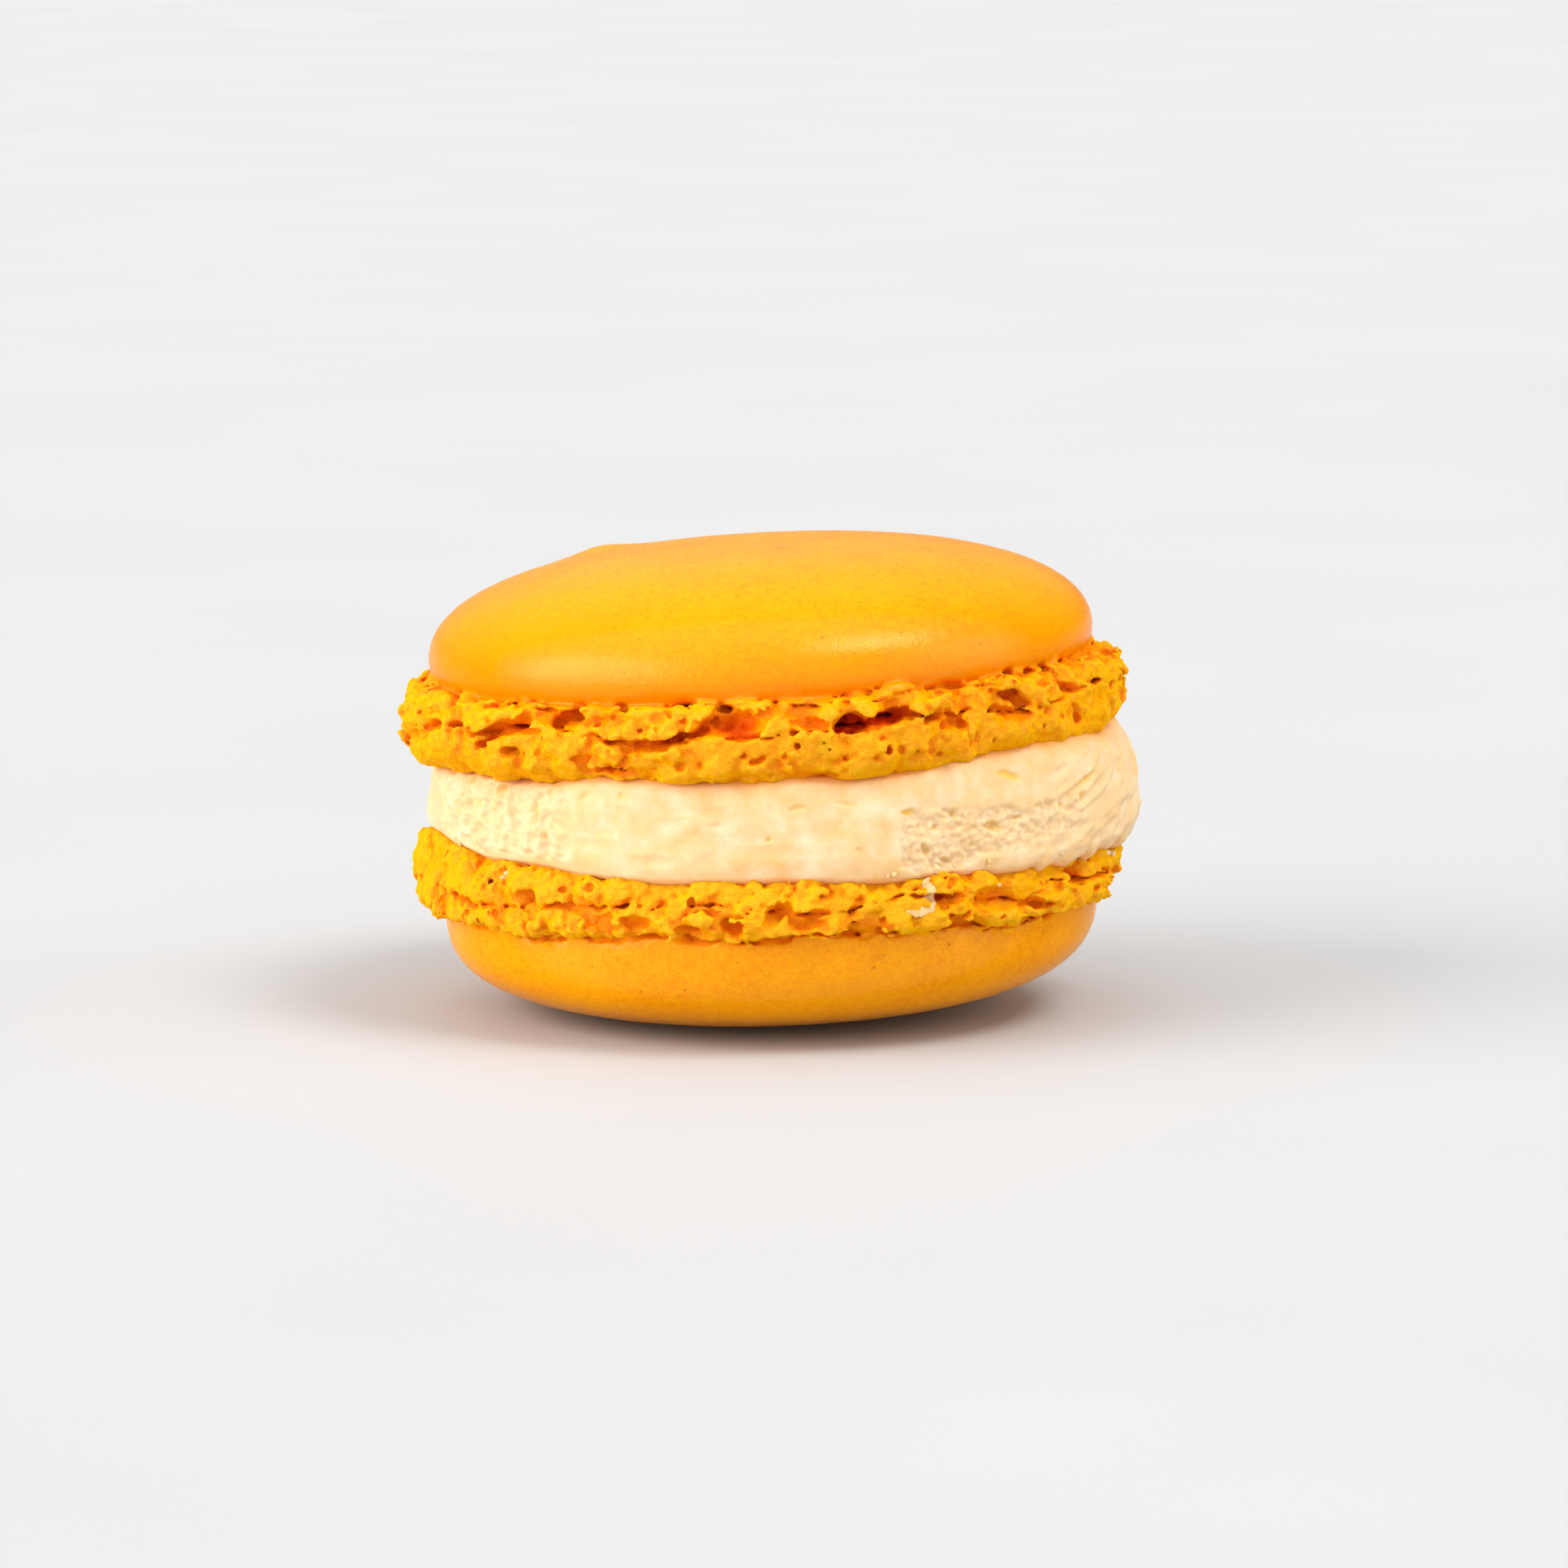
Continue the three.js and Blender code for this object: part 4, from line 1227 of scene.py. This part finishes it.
# ---- Crumbs and the smear ----
def blob(size, seed):
    """A small irregular lump round the origin: points and triangles."""
    shape = bmesh.new()
    bmesh.ops.create_icosphere(shape, subdivisions=3, radius=1)
    points = np.array([v.co[:] for v in shape.verts])
    triangles = np.array([[v.index for v in f.verts] for f in shape.faces])
    shape.free()
    x, y, z = (points * 1.1 + 7.3 * seed).T
    swell = 0.5 * smooth_noise(x, y, z, 301) + 0.34 * smooth_noise(2.7 * x, 2.7 * y, 2.7 * z, 302)
    stretch = 1 + 0.3 * smooth_noise(np.full(3, 0.7 * seed), np.arange(3) * 1.7, 0.5, 303)
    return points * (1 + swell)[:, None] * stretch * size / 2, triangles


def join_parts(parts):
    """One mesh from several: points and triangles."""
    points, triangles, total = [], [], 0
    for some, faces in parts:
        points.append(some)
        triangles.append(faces + total)
        total += len(some)
    return np.concatenate(points), np.concatenate(triangles)


def on_cream(bits):
    """Places on the cream's side for a list of turns, heights, sizes and distances out."""
    turns, heights, _, outs = np.array(bits).T
    turn = np.radians(turns)[:, None]
    bottom, top = cream_edges(turn[:, 0])
    share = np.clip((heights - bottom) / (top - bottom), 0, 1)[:, None]
    points = cream_side(turn, share)[0][:, 0]
    scale = 1 + outs / hypot(points[:, 0], points[:, 1])
    return np.stack([points[:, 0] * scale, points[:, 1] * scale, heights + LOWER_HEIGHT], axis=1)


def on_foot(shell, turns, heights, out):
    """Places on a shell's baked surface, in the shell's own terms, out by some way."""
    turns, heights = np.radians(turns), np.asarray(heights, dtype=float)
    radii = np.arange(*FOOT_SEARCH)
    radius = np.repeat(radii[:, None], len(turns), axis=1)
    place = (radius * np.sin(turns), -radius * np.cos(turns), np.broadcast_to(heights, radius.shape))
    flat = detailed_distance(shell, *[np.ravel(v) for v in place])[0].reshape(radius.shape)
    first = radii[(flat < 0).argmax(axis=0)] + out
    return np.stack([first * np.sin(turns), -first * np.cos(turns), heights], axis=1)


def build_crumbs(name, parts, tone, material):
    """One piece from several small meshes. The tone is what the material reads as relief."""
    points, triangles = join_parts(parts)
    facts = np.tile(tone, (len(points), 1))
    return make_piece(name, points, NO_QUADS, triangles, facts, material)


def bits_on_cream(bits, first_seed):
    """Lumps that lie on the cream's side."""
    parts = []
    for seed, (bit, place) in enumerate(zip(bits, on_cream(bits)), first_seed):
        points, triangles = blob(bit[2], seed)
        parts.append((points + place, triangles))
    return parts


def build_cream_crumbs(material):
    parts = bits_on_cream(CREAM_BITS, 0)
    turns, heights, sizes = zip(*CREAM_SPECKS)
    places = place_shell(LOWER, on_foot(LOWER, turns, heights, CRUMB_LIFT))
    for seed, (place, size) in enumerate(zip(places, sizes), 40):
        points, triangles = blob(size, seed)
        parts.append((points * (1, 1, CRUMB_FLATNESS) + place, triangles))
    thing = build_crumbs("cream_crumbs", parts, CREAM_TONE, material)


def build_foot_crumbs(material):
    parts = bits_on_cream(FOOT_BITS, 60)
    thing = build_crumbs("meringue_crumbs", parts, FOOT_TONE, material)


def build_smear(material):
    """A thin lumpy ridge of cream that lies along a line on the lower foot."""
    line = np.array(SMEAR)
    steps = np.linspace(0, len(line) - 1, SMEAR_STEPS)
    turns, heights, widths = [np.interp(steps, np.arange(len(line)), line[:, n]) for n in range(3)]
    middle = place_shell(LOWER, on_foot(LOWER, turns, heights, 0.0))
    kernel = np.ones(5) / 5
    for n in range(3):
        padded = np.pad(middle[:, n], 2, mode="edge")
        middle[:, n] = np.convolve(padded, kernel, mode="valid")
    outward = middle * (1, 1, 0)
    outward /= np.linalg.norm(outward, axis=1, keepdims=True)
    along = np.gradient(middle, axis=0)
    along /= np.linalg.norm(along, axis=1, keepdims=True)
    across = np.cross(along, outward)
    sides = SMEAR_SIDES
    angles = 2 * np.pi * np.arange(sides) / sides
    taper = np.sqrt(np.clip(1 - np.abs(np.linspace(-1, 1, len(steps))) ** 6, 0.02, 1))
    rings = []
    for n in range(len(steps)):
        place = middle[n] + outward[n] * SMEAR_LIFT
        wide = across[n][None] * np.cos(angles)[:, None] * widths[n]
        high = outward[n][None] * np.sin(angles)[:, None] * SMEAR_THICKNESS
        ring = place + (wide + high) * taper[n]
        rough = 0.1 * smooth_noise(*(ring / 0.2).T, 305) + 0.09 * smooth_noise(*(ring / 0.45).T, 306)
        rings.append(ring + (wide + high) / 0.2 * rough[:, None])
    points = np.concatenate(rings)
    triangles = []
    for n in range(len(steps) - 1):
        for k in range(sides):
            a, b = n * sides + k, n * sides + (k + 1) % sides
            triangles += [(a, b, b + sides), (a, b + sides, a + sides)]
    for first in (0, (len(steps) - 1) * sides):
        ring = list(range(first, first + sides))
        fan = [(ring[0], ring[k + 1], ring[k]) for k in range(1, sides - 1)]
        triangles += fan if first == 0 else [t[::-1] for t in fan]
    parts = [(points, np.array(triangles))]
    thing = build_crumbs("cream_smear", parts, CREAM_TONE, material)


# ---- Materials ----
class Nodes:
    """A short way to write a node tree."""

    def __init__(self, tree):
        self.tree = tree

    def feed(self, socket, value):
        """Links an output to a socket, or sets the socket's own value."""
        if isinstance(value, bpy.types.NodeSocket):
            self.tree.links.new(value, socket)
        else:
            socket.default_value = value

    def put(self, node, **inputs):
        for key, value in inputs.items():
            self.feed(node.inputs[key.replace("_", " ")], value)
        return node.outputs

    def add(self, kind, settings=None, **inputs):
        node = self.tree.nodes.new(kind)
        for key, value in (settings or {}).items():
            setattr(node, key, value)
        return self.put(node, **inputs)

    def ramp(self, factor, *stops):
        node = self.tree.nodes.new("ShaderNodeValToRGB")
        self.put(node, Fac=factor)
        elements = node.color_ramp.elements
        while len(elements) < len(stops):
            elements.new(0.5)
        for element, (place, colour) in zip(elements, stops):
            element.position = place
            element.color = colour if isinstance(colour, tuple) else (colour, colour, colour, 1)
        return node.outputs["Color"]

    def mix(self, factor, first, second, kind="RGBA"):
        node = self.tree.nodes.new("ShaderNodeMix")
        node.data_type = kind
        sockets = [s for s in node.inputs if s.enabled]
        for socket, value in zip(sockets, (factor, first, second)):
            self.feed(socket, value)
        return [s for s in node.outputs if s.enabled][0]

    def calculate(self, kind, operation, *values):
        node = self.tree.nodes.new(kind)
        node.operation = operation
        for socket, value in zip(node.inputs, values):
            self.feed(socket, value)
        return node.outputs

    def math(self, operation, first, second):
        return self.calculate("ShaderNodeMath", operation, first, second)[0]

    def vector(self, operation, *values):
        return self.calculate("ShaderNodeVectorMath", operation, *values)

    def place(self, kind="Object"):
        return self.add("ShaderNodeTexCoord")[kind]

    def noise(self, size, detail=2.0, roughness=0.5, shift=0.0):
        """Noise from 0 to 1 whose grains are about size millimetres wide."""
        place = self.vector("ADD", self.place(), (shift,) * 3)[0] if shift else self.place()
        numbers = {"Scale": 1 / (size * MM), "Detail": detail, "Roughness": roughness}
        return self.add("ShaderNodeTexNoise", Vector=place, **numbers)["Fac"]

    def cells(self, size, warp=0.0):
        """Distance from the middle of the nearest of many cells about size millimetres wide."""
        place = self.place()
        if warp:
            scale = 1.2 / (size * MM)
            noise = self.add("ShaderNodeTexNoise", Vector=place, Scale=scale, Detail=1.0)["Color"]
            place = self.vector("MULTIPLY_ADD", noise, (warp * size * MM,) * 3, place)[0]
        return self.add("ShaderNodeTexVoronoi", Vector=place, Scale=1 / (size * MM))["Distance"]


def new_material(name):
    """A material, its nodes and its shader."""
    material = bpy.data.materials.new(name)
    material.use_nodes = True
    nodes = Nodes(material.node_tree)
    return material, nodes, nodes.tree.nodes["Principled BSDF"]


def linear(red, green, blue):
    """A display colour, 0 to 255 each, as the linear numbers that a shader takes."""
    parts = [v / 255 for v in (red, green, blue)]
    return (*(p / 12.92 if p <= 0.04045 else ((p + 0.055) / 1.055) ** 2.4 for p in parts), 1)


CAP_COLOUR = linear(240, 155, 2)
CAP_PALE = linear(245, 167, 4)
CAP_DEEP = linear(224, 126, 1)
CAP_PORE = linear(170, 70, 3)
# A foot's crest and valley colours are painted light and shade: yellower where crests catch light,
# more orange in the valleys.
FOOT_COLOUR = linear(255, 171, 2)
FOOT_CREST_HIGHLIGHT = linear(255, 184, 14)
FOOT_VALLEY_SHADE = linear(255, 151, 2)
# Colours of hollows: partly the foam's own denser, redder colour, partly painted shade
CAVITY = linear(255, 128, 2)
CAVITY_DEEP = linear(228, 64, 2)
CREAM = linear(233, 197, 145)
CREAM_PALE = linear(238, 210, 170)
CREAM_WARM = linear(232, 188, 126)
CREAM_YELLOW = linear(236, 192, 80)
# Painted shade under the shells, orange from bounced light
CREAM_EDGE_SHADE = linear(230, 146, 15)
FLOOR_COLOUR = linear(194, 194, 194)
FLOOR_DARKER = linear(191, 191, 191)
GLOSS_TINT = (1.0, 0.85, 0.4, 1)
CAP_BROWNING_AND_SHADE_HEIGHTS = (21.5, 27.5)  # over these heights the upper cap turns from orange to yellow; the deeper orange lower down is partly its own browning, partly painted shade
MERINGUE_SCATTER, MERINGUE_SCATTER_SIZE = (1.0, 0.45, 0.12), 0.45
CREAM_SCATTER, CREAM_SCATTER_SIZE = (1.0, 0.75, 0.4), 0.9


def cap_colour(nodes, upper):
    """A cap's colour, mottled at two sizes with dark pin-pricks, and where its pores are."""
    fine = nodes.noise(0.45, 4.0, 0.6)
    mottle = nodes.ramp(fine, (0.2, CAP_DEEP), (0.5, CAP_COLOUR), (0.85, CAP_PALE))
    specks = nodes.ramp(nodes.noise(0.13, 2.0, 0.7, 0.31), (0.36, 0.85), (0.52, 0.0))
    mottle = nodes.mix(specks, mottle, CAP_DEEP)
    broad = nodes.ramp(nodes.noise(5.0, 1.0), (0.35, 0.0), (0.7, 1.0))
    cap = nodes.mix(nodes.math("MULTIPLY", broad, 0.35), mottle, CAP_PALE)
    # The upper cap turns deeper orange lower down: partly its own browning, partly painted shade
    if upper:
        low, high = [h * MM for h in CAP_BROWNING_AND_SHADE_HEIGHTS]
        height = nodes.add("ShaderNodeSeparateXYZ", Vector=nodes.place())["Z"]
        lower = nodes.add("ShaderNodeMapRange", Value=height, From_Min=high, From_Max=low)[0]
        cap = nodes.mix(nodes.math("MULTIPLY", lower, 0.75), cap, CAP_DEEP)
    spot = nodes.ramp(nodes.cells(0.95), (0.055, 1.0), (0.1, 0.0))
    chance = nodes.ramp(nodes.noise(2.5, 1.0, 0.5, 0.37), (0.45, 0.0), (0.6, 1.0))
    pore = nodes.math("MULTIPLY", spot, chance)
    return nodes.mix(nodes.math("MULTIPLY", pore, 0.6), cap, CAP_PORE), pore


def foot_colour(nodes, upper, grains, depth, crest, crevice_shade):
    """A foot's colour: yellow on its crests and grains as painted highlight, orange between them as
    painted shade, red-brown where torn deep, partly the foam's own colour and partly painted shade.
    """
    foot = nodes.ramp(crest, (0.22, FOOT_VALLEY_SHADE), (0.48, FOOT_COLOUR), (0.72, FOOT_CREST_HIGHLIGHT))
    grain = nodes.ramp(grains, (0.12, FOOT_CREST_HIGHLIGHT), (0.35, FOOT_COLOUR), (0.65, FOOT_VALLEY_SHADE))
    foot = nodes.mix(0.5, foot, grain)
    # Painted light: the lower shell's foot is made yellower, a lighter copy of the same foam
    if not upper:
        foot = nodes.mix(0.3, foot, FOOT_CREST_HIGHLIGHT)
    # Painted shade: crevices that are shut in turn orange
    foot = nodes.mix(nodes.ramp(crevice_shade, (0.12, 0.0), (0.7, 0.75)), foot, CAVITY)
    # Deeper under the foot's outline turns orange and then red-brown: partly the foam's own colour,
    # partly painted shade
    foot = nodes.mix(nodes.ramp(depth, (0.28, 0.0), (0.55, 1.0)), foot, CAVITY)
    return nodes.mix(nodes.ramp(depth, (0.5, 0.0), (0.85, 1.0)), foot, CAVITY_DEEP)


def shell_material(name, upper):
    material, nodes, shader = new_material(name)
    relief = nodes.add("ShaderNodeAttribute", {"attribute_name": "relief"})
    parts = nodes.add("ShaderNodeSeparateColor", Color=relief["Color"])
    share, depth, crest = parts["Red"], parts["Green"], parts["Blue"]
    grains = nodes.cells(0.45, 0.8)
    cap, pore = cap_colour(nodes, upper)
    foot = foot_colour(nodes, upper, grains, depth, crest, relief["Alpha"])

    cap_gloss = nodes.ramp(nodes.noise(1.2, 3.0, 0.6, 0.21), (0.35, 0.2), (0.7, 0.3))
    foot_gloss = nodes.ramp(depth, (0.2, 0.6), (0.6, 0.28))
    facing = nodes.add("ShaderNodeLayerWeight")["Facing"]

    sunk = nodes.math("SUBTRACT", nodes.noise(0.28, 3.0, 0.6, 0.05), nodes.math("MULTIPLY", pore, 1.5))
    fine = nodes.add("ShaderNodeBump", Strength=0.6, Distance=0.06 * MM, Height=sunk)["Normal"]
    crumb = nodes.math("SUBTRACT", nodes.noise(0.14, 3.0, 0.7, 0.09), grains)
    strength = nodes.math("MULTIPLY", share, 0.9)
    bump = {"Strength": strength, "Distance": 0.2 * MM, "Height": crumb, "Normal": fine}
    nodes.put(
        shader,
        Base_Color=nodes.mix(share, cap, foot),
        Roughness=nodes.mix(share, cap_gloss, foot_gloss, "FLOAT"),
        Specular_IOR_Level=nodes.ramp(facing, (0.25, 0.38), (0.42, 0.02), (0.72, 0.02), (0.95, 0.06)),
        Specular_Tint=GLOSS_TINT,
        Subsurface_Weight=nodes.ramp(share, (0.0, 0.2), (1.0, 0.6)),
        Subsurface_Radius=MERINGUE_SCATTER,
        Subsurface_Scale=MERINGUE_SCATTER_SIZE * MM,
        Normal=nodes.add("ShaderNodeBump", **bump)["Normal"],
    )
    return material


def cream_material():
    material, nodes, shader = new_material("whipped_buttercream")
    relief = nodes.add("ShaderNodeAttribute", {"attribute_name": "relief"})["Color"]
    parts = nodes.add("ShaderNodeSeparateColor", Color=relief)
    yellow, edge_shade, spongy = parts["Red"], parts["Green"], parts["Blue"]
    broad = nodes.noise(1.6, 3.0, 0.55)
    mottle = nodes.ramp(broad, (0.34, CREAM_WARM), (0.52, CREAM), (0.7, CREAM_PALE))
    fat = nodes.ramp(nodes.noise(0.45, 2.0, 0.6, 0.13), (0.62, 0.0), (0.8, 0.5))
    colour = nodes.mix(fat, mottle, CREAM_YELLOW)
    crumbly = nodes.ramp(nodes.noise(0.3, 3.0, 0.7, 0.17), (0.35, CREAM_WARM), (0.6, CREAM_PALE))
    colour = nodes.mix(nodes.math("MULTIPLY", spongy, 0.6), colour, crumbly)
    colour = nodes.mix(yellow, colour, CREAM_YELLOW)
    # Painted shade along the edges under the shells
    colour = nodes.mix(nodes.math("MULTIPLY", edge_shade, 0.9), colour, CREAM_EDGE_SHADE)
    strength = nodes.ramp(spongy, (0.1, 0.25), (0.8, 0.9))
    bump = {"Strength": strength, "Distance": 0.06 * MM, "Height": nodes.noise(0.2, 3.0, 0.65, 0.23)}
    nodes.put(
        shader,
        Base_Color=colour,
        Roughness=nodes.ramp(nodes.noise(0.9, 3.0, 0.6, 0.19), (0.3, 0.42), (0.7, 0.6)),
        Specular_IOR_Level=0.35,
        Subsurface_Weight=0.3,
        Subsurface_Radius=CREAM_SCATTER,
        Subsurface_Scale=CREAM_SCATTER_SIZE * MM,
        Normal=nodes.add("ShaderNodeBump", **bump)["Normal"],
    )
    return material


def floor_material():
    material, nodes, shader = new_material("pale_floor")
    tone = nodes.ramp(nodes.noise(60.0, 2.0), (0.3, FLOOR_DARKER), (0.7, FLOOR_COLOUR))
    nodes.put(shader, Base_Color=tone, Roughness=0.6, Specular_IOR_Level=0.08)
    return material


# ---- Light, floor and camera ----
CAMERA = {"width": 12.4, "distance": 450, "elevation": 8, "target": (0.736, 0, 13.85)}
SENSOR_WIDTH = 36
FLOOR_HALF = 6000
SKY_BRIGHTEST = (-0.2, 0.15, 0.9)
SKY = ((0.05, 0.03), (0.45, 0.5), (0.9, 1.0))  # brightness against how far towards the brightest
SKY_STRENGTH = 1.12
# Soft round lights far away. A width is the angle that one spans, and turns are the macaron's.
LIGHTS = [
    {"name": "window", "turn": 55, "elevation": 57, "width": 26, "strength": 1.5},
    {"name": "left", "turn": -66, "elevation": 16, "width": 60, "strength": 3.7},
    {"name": "right", "turn": 74, "elevation": 8, "width": 60, "strength": 1.5},
    {"name": "front", "turn": 0, "elevation": 4, "width": 70, "strength": 0.95},
]


def build_camera():
    data = bpy.data.cameras.new("camera")
    data.sensor_width = SENSOR_WIDTH
    data.lens = SENSOR_WIDTH / 2 / math.tan(math.radians(CAMERA["width"] / 2))
    data.clip_start, data.clip_end = 0.01, 30
    camera = add_to_scene("camera", data)
    up = math.radians(CAMERA["elevation"])
    back = Vector((0, -math.cos(up), math.sin(up))) * CAMERA["distance"]
    camera.location = (Vector(CAMERA["target"]) + back) * MM
    camera.rotation_euler = (-back).to_track_quat("-Z", "Y").to_euler()
    bpy.context.scene.camera = camera


def build_sky():
    world = bpy.data.worlds.new("studio")
    world.use_nodes = True
    nodes = Nodes(world.node_tree)
    brightest = Vector(SKY_BRIGHTEST).normalized()
    towards = nodes.vector("DOT_PRODUCT", nodes.place("Generated"), brightest)["Value"]
    background = nodes.tree.nodes["Background"]
    nodes.put(background, Color=nodes.ramp(towards, *SKY), Strength=SKY_STRENGTH)
    bpy.context.scene.world = world


def build_floor():
    corners = FLOOR_HALF * np.array([(-1, -1, 0), (1, -1, 0), (1, 1, 0), (-1, 1, 0)])
    floor = make_object("floor", corners, np.array([[0, 1, 2, 3]]), np.zeros((0, 3)))
    floor.data.materials.append(floor_material())


def build_light(name, turn, elevation, width, strength):
    data = bpy.data.lights.new(name, "SUN")
    data.angle = math.radians(width)
    data.energy = strength
    side, up = math.radians(turn), math.radians(elevation)
    away = (math.cos(up) * math.sin(side), -math.cos(up) * math.cos(side), math.sin(up))
    add_to_scene(name, data).rotation_euler = Vector(away).to_track_quat("Z", "Y").to_euler()


bpy.context.scene.view_settings.view_transform = "Standard"
build_camera()
build_sky()
build_floor()
for light in LIGHTS:
    build_light(**light)
upper_look = shell_material("upper_meringue", True)
lower_look = shell_material("lower_meringue", False)
cream_look = cream_material()
build_shell(UPPER, "upper_shell_baked", upper_look)
build_shell(LOWER, "lower_shell_baked", lower_look)
build_cream(cream_look)
build_cream_crumbs(cream_look)
build_foot_crumbs(upper_look)
build_smear(cream_look)
